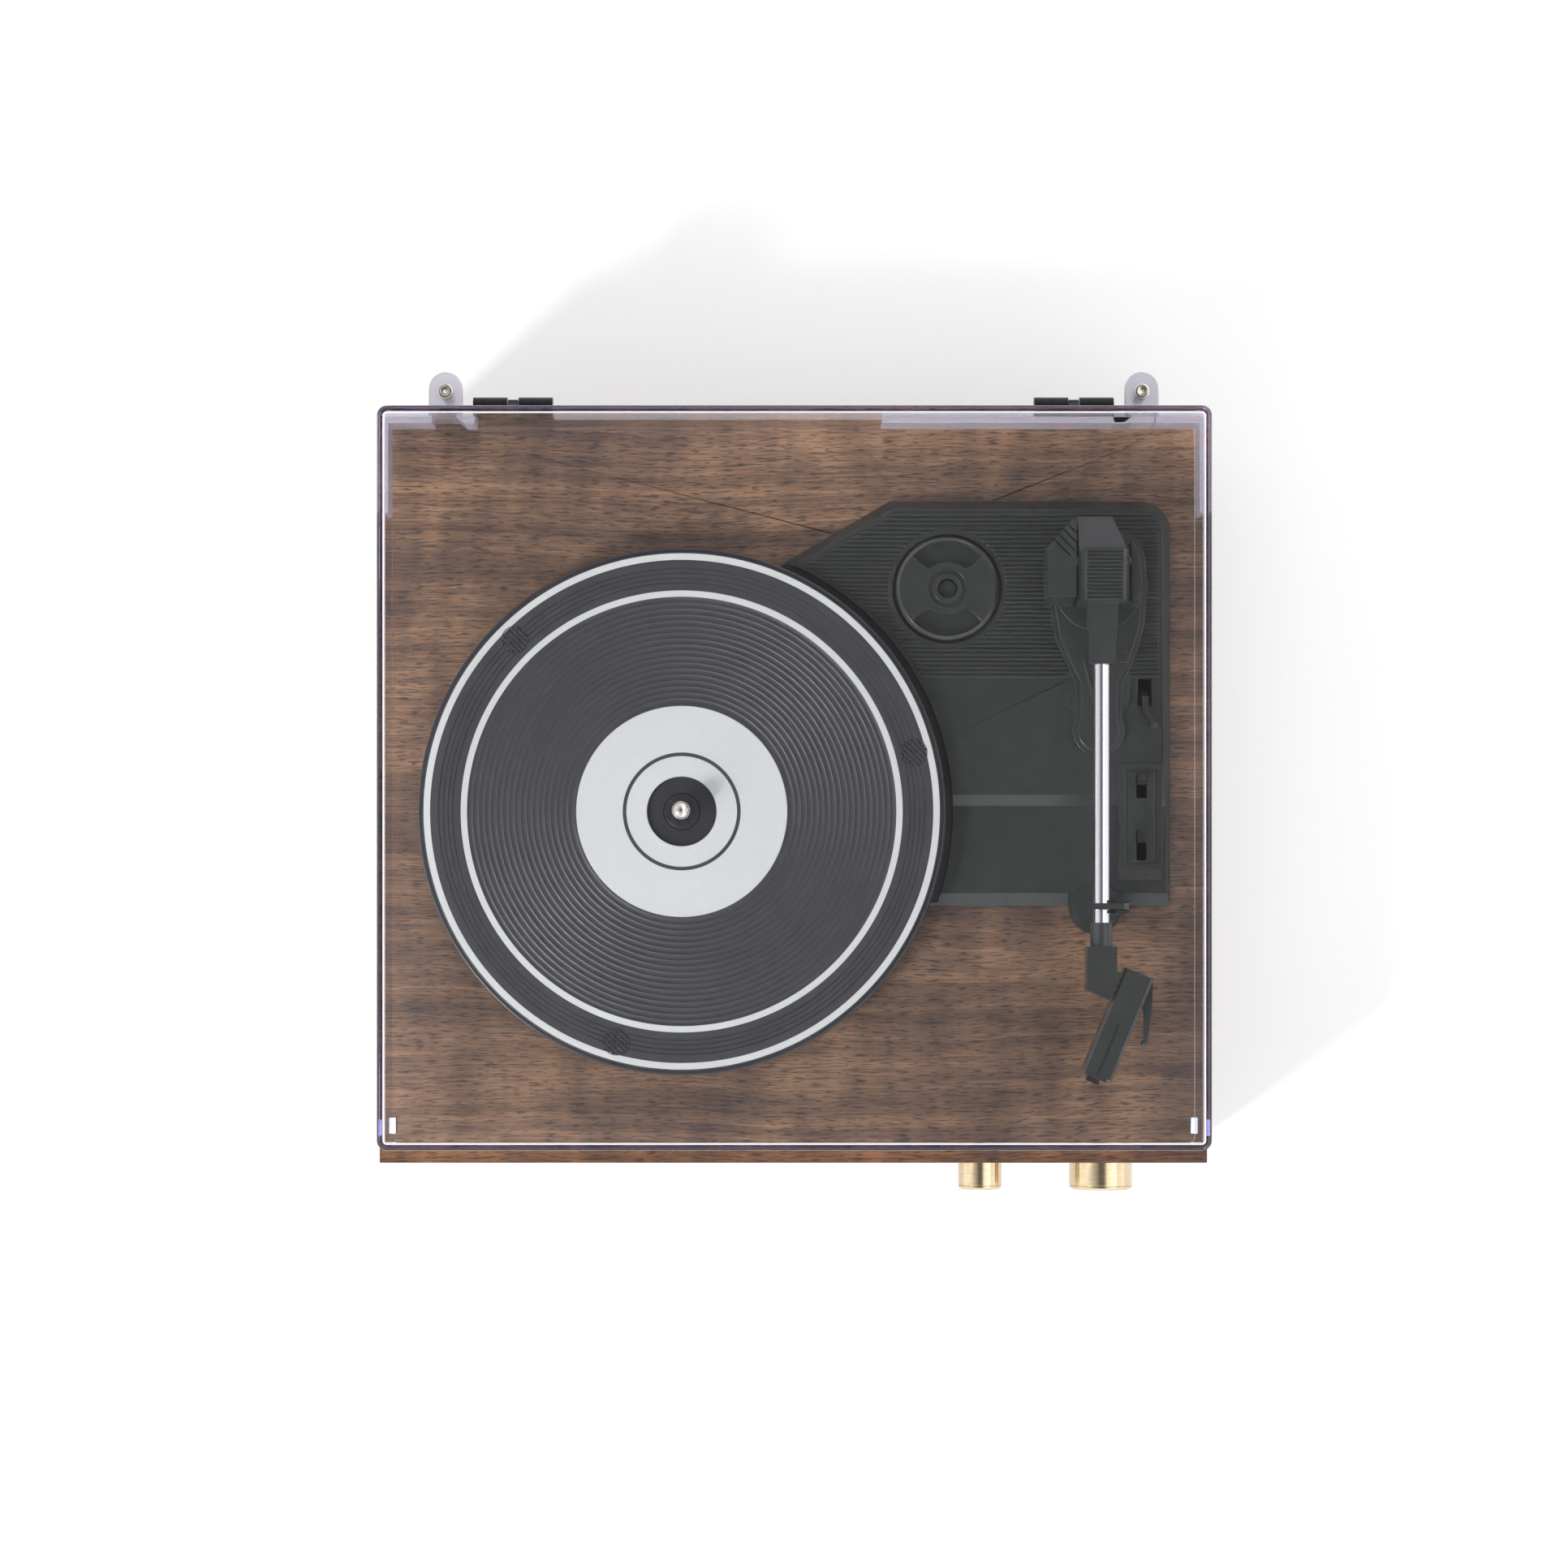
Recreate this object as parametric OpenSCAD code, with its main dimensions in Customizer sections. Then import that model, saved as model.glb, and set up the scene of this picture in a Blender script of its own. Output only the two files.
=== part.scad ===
// Compact belt-drive record player: a mitred wooden plinth with built-in speakers, a moulded deck
// with a pivoting tonearm, and a clear hinged lid. X runs right, Y to the back and Z up.
// The origin is on the floor, under the middle of the whole object.

/* [Plinth] */
// Width of the plinth
plinth_w = 309; // [305:0.5:313]
// Front face of the plinth, from the middle of the whole object
plinth_front = -140.4; // [-140.6:0.1:-140.2]
// Back face of the plinth
plinth_back = 138.6; // [138.4:0.1:138.7]
// Height of the plinth's top above the floor
plinth_top = 80; // [78:0.5:82]
// Thickness of the top, front, back and side boards
board_t = 9; // [8:0.5:10]
// Height of each rubber foot
foot_h = 8; // [7:0.5:10]
// Radius of each rubber foot
foot_r = 11; // [9:0.5:13]

/* [Front panel] */
// Half width of the grille opening
grille_half_w = 142.5; // [141:0.5:144]
// Height of the grille opening
grille_h = 48; // [46:0.5:50]
// Height of the knob shafts above the floor
knob_z = 44; // [43:0.5:45]
// Side place of the selector knob
selector_x = 71.9; // [68:0.1:74]
// Side place of the volume knob
volume_x = 118.3; // [116:0.1:120]
// Radius of the selector knob
selector_r = 8.35; // [7:0.05:9]
// Radius of the volume knob
volume_r = 12.1; // [11:0.1:13]

/* [Platter] */
// Side place of the spindle
spindle_x = -41.3; // [-42:0.1:-40]
// Front to back place of the spindle
spindle_y = -9.9; // [-10.5:0.1:-9]
// Radius of the spindle, which fits a record's centre hole
spindle_r = 3.55; // [3.5:0.01:3.6]
// Radius of the platter
platter_r = 97.5; // [96:0.5:98.5]
// Radius of the drum that the belt runs on
drum_r = 58; // [56:0.5:58]
// Radius of the motor pulley
pulley_r = 4.15; // [4:0.05:4.5]

/* [Tonearm] */
// Side place of the axis that the arm swings round
swing_x = 112.5; // [112:0.1:113]
// Front to back place of the swing axis
swing_y = 73.1; // [73:0.1:73.5]
// Front to back place of the pin that the arm tips on
pitch_y = 81.1; // [81:0.1:81.5]
// Height of the arm tube above the plinth top
arm_h = 26; // [25.5:0.1:26]
// Radius of the arm tube
tube_r = 3; // [2.8:0.05:3]

/* [Lid] */
// Height of the lid's top above the floor
lid_top = 127; // [126:0.5:130]
// Thickness of the lid's walls
lid_t = 2; // [1.8:0.1:2.2]
// Front to back place of the lid's hinge axis
hinge_y = 142; // [141.9:0.1:142.2]
// Height of the lid's hinge axis above the floor
hinge_z = 82; // [82:0.1:82.3]

/* [Hidden] */
$fn = 96;
half_w = plinth_w / 2;
board_z = plinth_top - board_t;
bottom_top = foot_h + 6;
cutout_r = 84;
grille_z0 = knob_z - grille_h / 2;
frame_front = plinth_front + 0.4;
frame_back = frame_front + 4;
cloth_front = frame_front - 1;
knob_front = -152.4;
knob_back = cloth_front - 0.6;
speaker_xs = [-95, 5];
speaker_hole_r = 19.5;
rear_h = 7;
front_h = 4;
floor_h = 2;
well_r = 100.5;
deck_right = 140.5;
deck_back = 106.2;
deck_front = -44.5;
deck_corner_r = 11;
deck_diagonal = [[-4.7, 82.7], [35.8, 106.2]];
deck_screw_at = [[133, 96], [132, -38.2], [33, 88]];
platter_h0 = 4;
platter_h1 = 13.2;
mat_h = 14.6;
mat_r = 95.8;
motor_angle = 20;
motor_reach = 66;
adapter_at = [57, 73];
adapter_r = 19.05;
rest_at = [112.4, -45.2];
rest_r = 9.75;
clip_hinge = [120.6, 26.5];
cue_axis = [33, 3];
hinge_xs = [-104.4, 104.4];
tab_xs = [-128.5, 128.5];
jack_z = 42;
dc_x = -28;
rca_xs = [-6, 10];
aux_x = 29;
shell_turn = -22.4;
shell_at = [125.95, -69.55];
shell_w = 11.2;
shell_l = 40.2;

// A box from its lowest corner to its highest
module box(low, high) translate(low) cube(high - low);

// A box whose heights are counted from the plinth top
module deck_box(low, high) translate([0, 0, plinth_top]) box(low, high);

// A round bar along Z between two heights above the plinth top
module post(at, r, h0, h1) translate([at.x, at.y, plinth_top + h0]) cylinder(r = r, h = h1 - h0);

// A round bar along X
module bar_x(x0, x1, y, z, r) translate([x0, y, z]) rotate([0, 90, 0]) cylinder(r = r, h = x1 - x0);

// A round bar along Y, from the lower y to the higher
module bar_y(y0, y1, x, z, r) translate([x, y1, z]) rotate([90, 0, 0]) cylinder(r = r, h = y1 - y0);

// An outline in y and z, carried along X
module prism_x(x0, x1, outline) translate([x0, 0, 0]) rotate([90, 0, 90])
    linear_extrude(x1 - x0) polygon(outline);

// An outline in x and z, carried along Y
module prism_y(y0, y1, outline) translate([0, y1, 0]) rotate([90, 0, 0])
    linear_extrude(y1 - y0) polygon(outline);

// An outline in x and y, carried up between two heights above the plinth top
module prism_z(h0, h1, outline) translate([0, 0, plinth_top + h0])
    linear_extrude(h1 - h0) polygon(outline);

// ---- Plinth ----

module box_plan(front, back, side) polygon([[-side, front], [side, front], [side, back], [-side, back]]);

module top_board() color("#765f4e") difference() {
    intersection() {
        prism_y(plinth_front, plinth_back, [[-half_w, plinth_top], [half_w, plinth_top],
            [half_w - board_t, board_z], [board_t - half_w, board_z]]);
        prism_x(-half_w, half_w, [[plinth_front, plinth_top], [plinth_back, plinth_top],
            [plinth_back - board_t, board_z], [plinth_front + board_t, board_z]]);
    }
    post([spindle_x, spindle_y], cutout_r, -board_t - 1, 1);
    deck_box([70, -34, -board_t - 1], [136, 90, 1]);
    for (at = deck_screw_at) post(at, 1.7, -board_t - 1, 1);
}

module side_board() color("#765f4e") intersection() {
    prism_y(plinth_front, plinth_back, [[-half_w, foot_h], [board_t - half_w, foot_h],
        [board_t - half_w, board_z], [-half_w, plinth_top]]);
    linear_extrude(plinth_top) polygon([[-half_w, plinth_front],
        [board_t - half_w, plinth_front + board_t], [board_t - half_w, plinth_back - board_t],
        [-half_w, plinth_back]]);
}

module left_board() side_board();
module right_board() mirror([1, 0, 0]) side_board();

module front_board() color("#765f4e") difference() {
    intersection() {
        prism_x(-half_w, half_w, [[plinth_front, foot_h], [plinth_front + board_t, foot_h],
            [plinth_front + board_t, board_z], [plinth_front, plinth_top]]);
        linear_extrude(plinth_top) polygon([[-half_w, plinth_front], [half_w, plinth_front],
            [half_w - board_t, plinth_front + board_t], [board_t - half_w, plinth_front + board_t]]);
    }
    box([-grille_half_w, plinth_front - 1, grille_z0],
        [grille_half_w, plinth_front + board_t + 1, grille_z0 + grille_h]);
}

module back_board() color("#765f4e") difference() {
    intersection() {
        prism_x(-half_w, half_w, [[plinth_back, foot_h], [plinth_back, plinth_top],
            [plinth_back - board_t, board_z], [plinth_back - board_t, foot_h]]);
        linear_extrude(plinth_top) polygon([[-half_w, plinth_back],
            [board_t - half_w, plinth_back - board_t], [half_w - board_t, plinth_back - board_t],
            [half_w, plinth_back]]);
    }
    box([-40, plinth_back - board_t - 1, jack_z - 13], [40, plinth_back + 1, jack_z + 13]);
}

foot_at = [[-128, -114], [128, -114], [-128, 112], [128, 112]];

module bottom_board() color("#4a4038") difference() {
    box([board_t - half_w, plinth_front + board_t, foot_h],
        [half_w - board_t, plinth_back - board_t, bottom_top]);
    for (at = foot_at) translate([at.x, at.y, foot_h - 1]) cylinder(r = 1.65, h = 8);
}

module foot(at) color("#222222") translate([at.x, at.y, 0]) difference() {
    rotate_extrude() polygon([[0, 0], [foot_r - 1, 0], [foot_r, 1], [foot_r, foot_h - 1.5],
        [foot_r - 1, foot_h], [0, foot_h]]);
    translate([0, 0, -1]) cylinder(r = 4.5, h = 4);
    translate([0, 0, -1]) cylinder(r = 1.8, h = foot_h + 2);
}

module foot_screws() color("silver") for (at = foot_at) translate([at.x, at.y, 0]) {
    translate([0, 0, 1]) cylinder(r = 3.6, h = 2);
    translate([0, 0, 2]) cylinder(r = 1.6, h = bottom_top - 3);
}

// ---- Front panel ----

module grille_frame() color("#1c1c1c") difference() {
    box([-grille_half_w, frame_front, grille_z0], [grille_half_w, frame_back, grille_z0 + grille_h]);
    for (x = speaker_xs) bar_y(frame_front - 1, frame_back + 1, x, knob_z, speaker_hole_r);
    for (x = [selector_x, volume_x]) bar_y(frame_front - 1, frame_back + 1, x, knob_z, 3.6);
}

module grille_cloth() color("#202020") difference() {
    box([-grille_half_w, cloth_front, grille_z0], [grille_half_w, frame_front, grille_z0 + grille_h]);
    for (x = [selector_x, volume_x]) bar_y(cloth_front - 1, frame_front + 1, x, knob_z, 3.6);
}

module speaker(x) color("#303234") translate([x, frame_back, knob_z]) rotate([-90, 0, 0]) difference() {
    rotate_extrude() polygon([[0, 13], [11, 13], [21, 2], [23, 2], [23, 0], [19.5, 0], [19.5, 1.5],
        [18.7, 1.5], [9.5, 11.5], [0, 11.5]]);
    for (a = [45:90:315]) rotate([0, 0, a]) translate([21.6, 0, -1]) cylinder(r = 0.8, h = 4);
}

module speaker_magnet(x) color("silver") translate([x, frame_back + 13, knob_z]) rotate([-90, 0, 0])
    cylinder(r = 14, h = 8);

module speaker_left() { speaker(speaker_xs[0]); speaker_magnet(speaker_xs[0]); }
module speaker_right() { speaker(speaker_xs[1]); speaker_magnet(speaker_xs[1]); }

module speaker_cones() color("#2a2a2c") for (x = speaker_xs)
    translate([x, frame_back, knob_z]) rotate([-90, 0, 0])
    rotate_extrude() polygon([[0, 8], [6, 7], [16, 1.2], [19.5, 0.4], [19.5, 1.2], [16, 2], [7, 10.5],
        [0, 10.5]]);

module knob(x, r) color("#e0c49c") difference() {
    translate([x, knob_back, knob_z]) rotate([90, 0, 0]) rotate_extrude() polygon([[0, 0], [r, 0],
        [r, knob_back - knob_front - 0.8], [r - 0.8, knob_back - knob_front],
        [0, knob_back - knob_front]]);
    bar_y(knob_back - 3, knob_back + 1, x, knob_z, r - 1.6);
}

module knob_shaft(x) color("silver") bar_y(knob_back - 3, frame_back + 5, x, knob_z, 3);

module volume_knob() { knob(volume_x, volume_r); knob_shaft(volume_x); }
module selector_knob() { knob(selector_x, selector_r); knob_shaft(selector_x); }

module shaft_housing(x, size) color("#6a6a66") difference() {
    union() {
        bar_y(frame_front, frame_back + 1, x, knob_z, 3.5);
        box([x - size, frame_back, knob_z - size], [x + size, frame_back + 9, knob_z + size]);
    }
    bar_y(frame_front - 1, frame_back + 7, x, knob_z, 3.05);
}

module volume_pot() shaft_housing(volume_x, 8);
module selector_switch() shaft_housing(selector_x, 9);

module main_board() {
    color("#2c5a38") box([50, -118, 20], [138, -58, 21.6]);
    color("#d8d8d0") for (x = [54, 134], y = [-114, -62]) translate([x, y, bottom_top])
        cylinder(r = 3, h = 6);
    color("#222222") for (x = [70, 90]) box([x, -98, 21.6], [x + 12, -86, 24.6]);
    color("#303060") for (x = [112, 124], y = [-104, -84]) translate([x, y, 21.6])
        cylinder(r = 4, h = 11);
}

// ---- Rear sockets ----

plate_y = plinth_back - 5;
plate_back = plinth_back - board_t;

// A plate that fills the opening from the inside, with a flange behind the board
module jack_plate() color("#1e1e1e") difference() {
    union() {
        box([-39.9, plate_back, jack_z - 12.9], [39.9, plate_y, jack_z + 12.9]);
        box([-45, plate_back - 2, jack_z - 17], [45, plate_back, jack_z + 17]);
    }
    for (x = concat([dc_x], rca_xs)) bar_y(plate_back - 3, plate_y + 1, x, jack_z, 4.6);
    bar_y(plate_back - 3, plate_y + 1, aux_x, jack_z, 3.6);
}

module dc_jack() color("#262626") {
    difference() {
        union() {
            bar_y(plate_y - 12, plate_y, dc_x, jack_z, 4.5);
            bar_y(plate_y, plate_y + 1.2, dc_x, jack_z, 5.6);
        }
        bar_y(plate_y - 10, plate_y + 2, dc_x, jack_z, 2.75);
    }
    bar_y(plate_y - 11, plate_y, dc_x, jack_z, 1);
}

module rca_jacks() for (x = rca_xs) color(x < 0 ? "white" : "crimson") difference() {
    union() {
        bar_y(plate_y - 8, plate_y, x, jack_z, 4.5);
        bar_y(plate_y, plate_y + 1.5, x, jack_z, 5.8);
        bar_y(plate_y, plate_y + 9, x, jack_z, 4.15);
    }
    bar_y(plate_y, plate_y + 10, x, jack_z, 1.6);
}

module aux_jack() color("silver") difference() {
    union() {
        bar_y(plate_y - 16, plate_y, aux_x, jack_z, 3.5);
        bar_y(plate_y, plate_y + 2, aux_x, jack_z, 4.5);
    }
    bar_y(plate_y - 14, plate_y + 3, aux_x, jack_z, 1.8);
}

// ---- Deck ----

// The deck's outline, moved in by inset, with its front edge at front
function deck_points(inset, front) = let(
        along = deck_diagonal[1] - deck_diagonal[0],
        inward = [along.y, -along.x] / norm(along),
        r = deck_corner_r - inset) concat(
    [deck_diagonal[0] + inward * inset,
        [deck_diagonal[1].x + inset * (1 + inward.y) / inward.x, deck_back - inset]],
    [for (a = [90:-11.25:0]) [deck_right - deck_corner_r + r * cos(a),
        deck_back - deck_corner_r + r * sin(a)]],
    [[deck_right - inset, front], [40, front]]);

// Everything above the deck's front level, its step and its sloping edges
module above_front(drop) prism_x(0, deck_right + 5, [[-60, plinth_top + front_h - drop],
    [-7.3, plinth_top + front_h - drop], [-3.4, plinth_top + rear_h - drop],
    [-3.4, plinth_top + 20], [-60, plinth_top + 20]]);

panel_low = [121, -31.2];
panel_high = [136.8, 7.8];
panel_top = 8.2;

module switch_panel() prism_x(panel_low.x, panel_high.x, [[-34.7, plinth_top + front_h - 1],
    [-34.7, plinth_top + front_h], [panel_low.y, plinth_top + panel_top],
    [panel_high.y, plinth_top + panel_top], [panel_high.y, plinth_top + front_h - 1]]);

rib_pitch = 1.62;
rib_w = 0.8;
rib_h = 0.85;

module deck_ribs() translate([0, 0, plinth_top + rear_h - 0.1]) linear_extrude(rib_h + 0.1) difference() {
    intersection() {
        for (y = [40.1:rib_pitch:102]) translate([0, y]) square([136.4, rib_w]);
        polygon(deck_points(5.2, 0));
    }
    translate([spindle_x, spindle_y]) circle(r = well_r + 1.5);
    translate(adapter_at) circle(r = 22);
    arm_base_plan(0);
}

module cue_slot(margin, h0, h1) deck_box([127.8 - margin, 29.6 - margin, h0],
    [132.8 + margin, 39.7 + margin, h1]);

module deck_plate() color("#46484a") difference() {
    union() {
        difference() {
            hull() {
                prism_z(0, 1, deck_points(0, deck_front));
                prism_z(rear_h - 1, rear_h, deck_points(3.6, -35.2));
            }
            above_front(0);
            post([spindle_x, spindle_y], well_r, floor_h, 20);
            // the hollow underside, which stops short of the well's wall
            difference() {
                prism_z(-1, rear_h - 2.4, deck_points(6.5, -33));
                above_front(2.4);
                post([spindle_x, spindle_y], well_r + 2.5, -2, 20);
                post(adapter_at, 22.5, -2, 20);
                for (at = deck_screw_at) post(at, 3.6, -2, 20);
                deck_box([125, 27, -2], [136, 42, 20]);
                post([swing_x, swing_y], 9, -2, 20);
            }
        }
        post([spindle_x, spindle_y], 90, 0, floor_h);
        switch_panel();
        deck_ribs();
    }
    post([spindle_x, spindle_y], spindle_r + 0.02, -1, 3);
    translate([spindle_x, spindle_y, 0]) rotate([0, 0, motor_angle]) post([motor_reach, 0], 7, -1, 3);
    difference() {
        post(adapter_at, 20.3, rear_h - 3, 20);
        post(adapter_at, 3.3, 0, 8.6);
    }
    deck_box([panel_low.x + 2, panel_low.y + 3, -1], [panel_high.x - 2, panel_high.y - 2, 6.2]);
    // a shallow line round the switches
    difference() {
        deck_box([panel_low.x + 2.2, panel_low.y + 2, panel_top - 0.6],
            [panel_high.x - 2.2, panel_high.y - 2, 20]);
        deck_box([panel_low.x + 3, panel_low.y + 2.8, 0], [panel_high.x - 3, panel_high.y - 2.8, 20]);
    }
    deck_box([127.1, -27.7, 0], [130.9, -16.3, 20]);
    deck_box([127.1, -4.7, 0], [130.9, 4.4, 20]);
    cue_slot(0, -1, 20);
    bar_x(126, 134.6, cue_axis.x, plinth_top + cue_axis.y, 1.3);
    post([swing_x, swing_y], post_r + 0.05, -1, 20);
    for (at = deck_screw_at) post(at, 1.5, -1, 3);
    rest_plan(0.1, -1, 20);
}

module deck_screws() color("silver") for (at = deck_screw_at) {
    post(at, 3.2, -board_t - 2, -board_t);
    post(at, 1.48, -board_t - 1, 2.8);
}

// ---- Drive ----

module at_motor() translate([spindle_x, spindle_y, 0]) rotate([0, 0, motor_angle])
    translate([motor_reach, 0, 0]) children();

module motor() color("silver") at_motor() difference() {
    union() {
        post([0, 0], 14, -23, -2);
        post([0, 0], 17, -2, 0);
        post([0, 0], 3, -1, 2);
    }
    post([0, 0], 1.05, -12, 3);
}

module motor_pulley() at_motor() {
    color("silver") post([0, 0], 1, -11, 10);
    color("#c9a850") post([0, 0], pulley_r, 4.6, 9.6);
    color("#c9a850") for (h = [4, 9.6]) post([0, 0], pulley_r + 1, h, h + 0.6);
}

// The outline round the drum and the pulley, with straight runs on both sides
module belt_plan(gap) {
    big = drum_r + gap;
    small = pulley_r + gap;
    lean = acos((big - small) / motor_reach);
    circle(r = big);
    translate([motor_reach, 0]) circle(r = small);
    polygon([[big * cos(lean), big * sin(lean)],
        [motor_reach + small * cos(lean), small * sin(lean)],
        [motor_reach + small * cos(lean), -small * sin(lean)],
        [big * cos(lean), -big * sin(lean)]]);
}

module drive_belt() color("#1a1a1a") translate([spindle_x, spindle_y, plinth_top + 5.2])
    rotate([0, 0, motor_angle]) linear_extrude(3.8) difference() {
        belt_plan(0.95);
        belt_plan(0.3);
    }

module on_spindle(r, h0, h1) post([spindle_x, spindle_y], r, h0, h1);

module spindle() color("#c8c8c4") difference() {
    union() {
        on_spindle(8, -3, 0);
        on_spindle(spindle_r, -1, 24.05);
        translate([spindle_x, spindle_y, plinth_top + 24.05]) rotate_extrude() intersection() {
            circle(r = spindle_r);
            square(spindle_r);
        }
    }
    difference() {
        on_spindle(spindle_r + 1, 13.6, 14.4);
        on_spindle(2.9, 13, 15);
    }
}

module thrust_washer() color("#e8e4d8") difference() {
    on_spindle(7.5, floor_h, 3.4);
    on_spindle(spindle_r + 0.05, 1, 5);
}

module spindle_clip() color("#3a3a3c") difference() {
    on_spindle(6, 13.65, 14.35);
    on_spindle(2.9, 13, 15);
    deck_box([spindle_x - 1.6, spindle_y - 8, 13], [spindle_x + 1.6, spindle_y, 15]);
}

module platter() color("#1e1f20") difference() {
    on_spindle(platter_r, platter_h0, platter_h1);
    difference() {
        on_spindle(platter_r - 2, platter_h0 - 1, platter_h1 - 2);
        on_spindle(drum_r, 0, 20);
    }
    difference() {
        on_spindle(drum_r - 2.5, platter_h0 - 1, platter_h1 - 2);
        on_spindle(10, 0, 20);
    }
    on_spindle(6.5, 0, 20);
}

module platter_bush() color("#1e1f20") difference() {
    on_spindle(6.5, 3.5, platter_h1);
    on_spindle(spindle_r + 0.06, 0, 20);
}

pad_angles = [14.2, 134.2, 254.2];
pad_reach = 88.3;
pad_r = 5.1;

module pads(r, h0, h1) for (a = pad_angles) post([spindle_x + pad_reach * cos(a),
    spindle_y + pad_reach * sin(a)], r, h0, h1);

module platter_mat() color("#48494c") difference() {
    on_spindle(mat_r, platter_h1, mat_h);
    on_spindle(12.5, 0, 20);
    pads(pad_r, 0, 20);
}

module grip_pads() color("#3a3c3f") pads(pad_r - 0.02, platter_h1, mat_h + 0.3);

// ---- Adapter for large centre holes ----

module adapter_45() color("#303234") difference() {
    union() {
        post(adapter_at, adapter_r, 4.1, 8.2);
        translate([adapter_at.x, adapter_at.y, plinth_top + 8.2])
            cylinder(r1 = adapter_r, r2 = adapter_r - 1.3, h = 1.1);
    }
    difference() {
        intersection() {
            post(adapter_at, 17.6, 6.2, 20);
            for (side = [-1, 1]) post(adapter_at + [0, 22.3 * side], 16.4, 6, 20);
        }
        post(adapter_at, 9.7, 0, 20);
    }
    difference() {
        post(adapter_at, 7.2, 8.3, 20);
        post(adapter_at, 5.3, 0, 20);
    }
    post(adapter_at, 3.65, 0, 20);
}

// ---- Tonearm ----

base_top = 10.4;
lobe_at = [113.1, 20.4];

// The arm base's outline, moved in by inset
module arm_base_plan(inset) {
    translate([swing_x, swing_y]) circle(r = 18.6 - inset);
    polygon([[93.9 + inset, 72], [97.2 + inset, 53.4], [104.6 + inset, 37.8], [104.6 + inset, 20.4],
        [121.6 - inset, 20.4], [121.8 - inset, 37.8], [126.3 - inset, 46.5], [130.2 - inset, 59.5],
        [131.1 - inset, 74.5], [130.5 - inset, 83.5], [128.1 - inset, 91 - inset / 2],
        [121.5 - inset / 2, 95.2 - inset], [112.5, 80]]);
    translate(lobe_at) circle(r = 9.6 - inset);
}

base_edge_h = 8.8;
lobe_h = 9.4;

module arm_base() color("#2e3032") {
    difference() {
        translate([0, 0, plinth_top + rear_h]) {
            linear_extrude(base_edge_h - rear_h) arm_base_plan(0);
            linear_extrude(base_top - rear_h) arm_base_plan(2);
            // a low skirt on both sides of the neck
            linear_extrude(0.8) polygon([[100.7, 42], [100.7, 31], [104.8, 26.5], [121.4, 26.5],
                [124.8, 31], [125.2, 42]]);
        }
        post([swing_x, swing_y], post_r + 0.05, 0, 20);
        deck_box([100, 5, lobe_h], [126, 25.5, 20]);
    }
    // a stop block, and a thin rib beside the tube
    deck_box([121.2, 45.4, base_top - 1], [123.6, 49.9, base_top + 2]);
    prism_z(base_top - 0.4, base_top + 0.8, [[107.2, 45.6], [107.9, 45.8], [111.4, 30.4], [110.7, 30.2]]);
}

tube_x = swing_x - 0.2;
post_r = 6;
disc_h0 = 10.9;
disc_h1 = 13.4;
cheek_top = 31.5;
pin_z = plinth_top + arm_h;

module arm_yoke() color("#2a2c2e") difference() {
    union() {
        post([swing_x, swing_y], post_r, -12, disc_h1);
        post([swing_x, swing_y], 16.3, disc_h0, disc_h1);
        hull() {
            prism_z(disc_h0, disc_h0 + 1, [[92.4, 65.8], [102.9, 65.8], [102.9, 96], [101.6, 96],
                [92.4, 85.8]]);
            prism_z(cheek_top - 1, cheek_top, [[92.4, 67.6], [102.9, 67.6], [102.9, 96], [101.6, 96],
                [92.4, 85.8]]);
        }
        prism_z(disc_h1 - 1, cheek_top - 1, [[122.9, 66], [125.8, 66], [125.8, 84], [122.9, 88]]);
    }
    post([swing_x, swing_y], 2.55, -20, 30);
    bar_x(96, 130, pitch_y, pin_z, 1.51);
    for (k = [0:3]) translate([96.2 + k * 1.7, 86.7 + k * 1.85, plinth_top + cheek_top - 0.7])
        rotate([0, 0, -45]) cube([12, 0.7, 2], center = true);
}

module pitch_pin() color("silver") bar_x(97, 125, pitch_y, pin_z, 1.5);

module lift_rod() color("silver") post([swing_x, swing_y], 2.5, -16, 15.1);

block_h0 = 15.7;
block_x = [103.5, 122.3];
block_slot_pitch = 1.37;
neck_y = 43.2;

module arm_block() color("#303234") difference() {
    union() {
        hull() {
            deck_box([block_x[0], 65, block_h0], [block_x[1], 85, 31]);
            deck_box([105.4, 65.9, 35], [119.7, 84.4, 36]);
        }
        hull() {
            deck_box([block_x[0], 84, block_h0], [block_x[1] - 1.3, 85, 33.5]);
            deck_box([block_x[0], 96.4, 19], [116.4, 97.4, 26]);
        }
        hull() {
            deck_box([107, 65, arm_h - 6], [118, 67, arm_h + 6.5]);
            deck_box([tube_x - 4.35, neck_y, arm_h - 4], [tube_x + 4.35, neck_y + 1, arm_h + 4.2]);
        }
    }
    for (k = [0:12]) translate([0, k * block_slot_pitch, 0]) deck_box([106.2, 66.6, 35.2], [119, 67.3, 40]);
    bar_x(100, 130, pitch_y, pin_z, 1.56);
    bar_y(neck_y - 1, 63, tube_x, pin_z, tube_r + 0.01);
    deck_box([107.5, 86.5, 0], [115.5, 94, 25]);
}

module counterweight() color("#9a9c9e") deck_box([107.6, 86.6, 17.5], [115.4, 93.9, 25]);

module arm_tube() color("#d8d8d8") difference() {
    bar_y(-57, 62, tube_x, pin_z, tube_r);
    bar_y(-58, 63, tube_x, pin_z, tube_r - 0.5);
}

module arm_elbow() color("#303234") difference() {
    union() {
        bar_y(-60.5, -51.1, tube_x, pin_z, 4);
        prism_z(arm_h - 5, arm_h + 5, [[106.7, -59.8], [117.6, -59.8], [117.6, -68.6], [119.2, -69.3],
            [115, -79.2], [106.7, -75.6]]);
        for (k = [0:3]) in_shell() translate([-shell_w / 2 - 1.3, -4.6 - k * 2.5, pin_z - 4.4])
            cube([1.3, 1.6, 8.6]);
    }
    bar_y(-57.2, -50, tube_x, pin_z, tube_r + 0.01);
}

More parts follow.
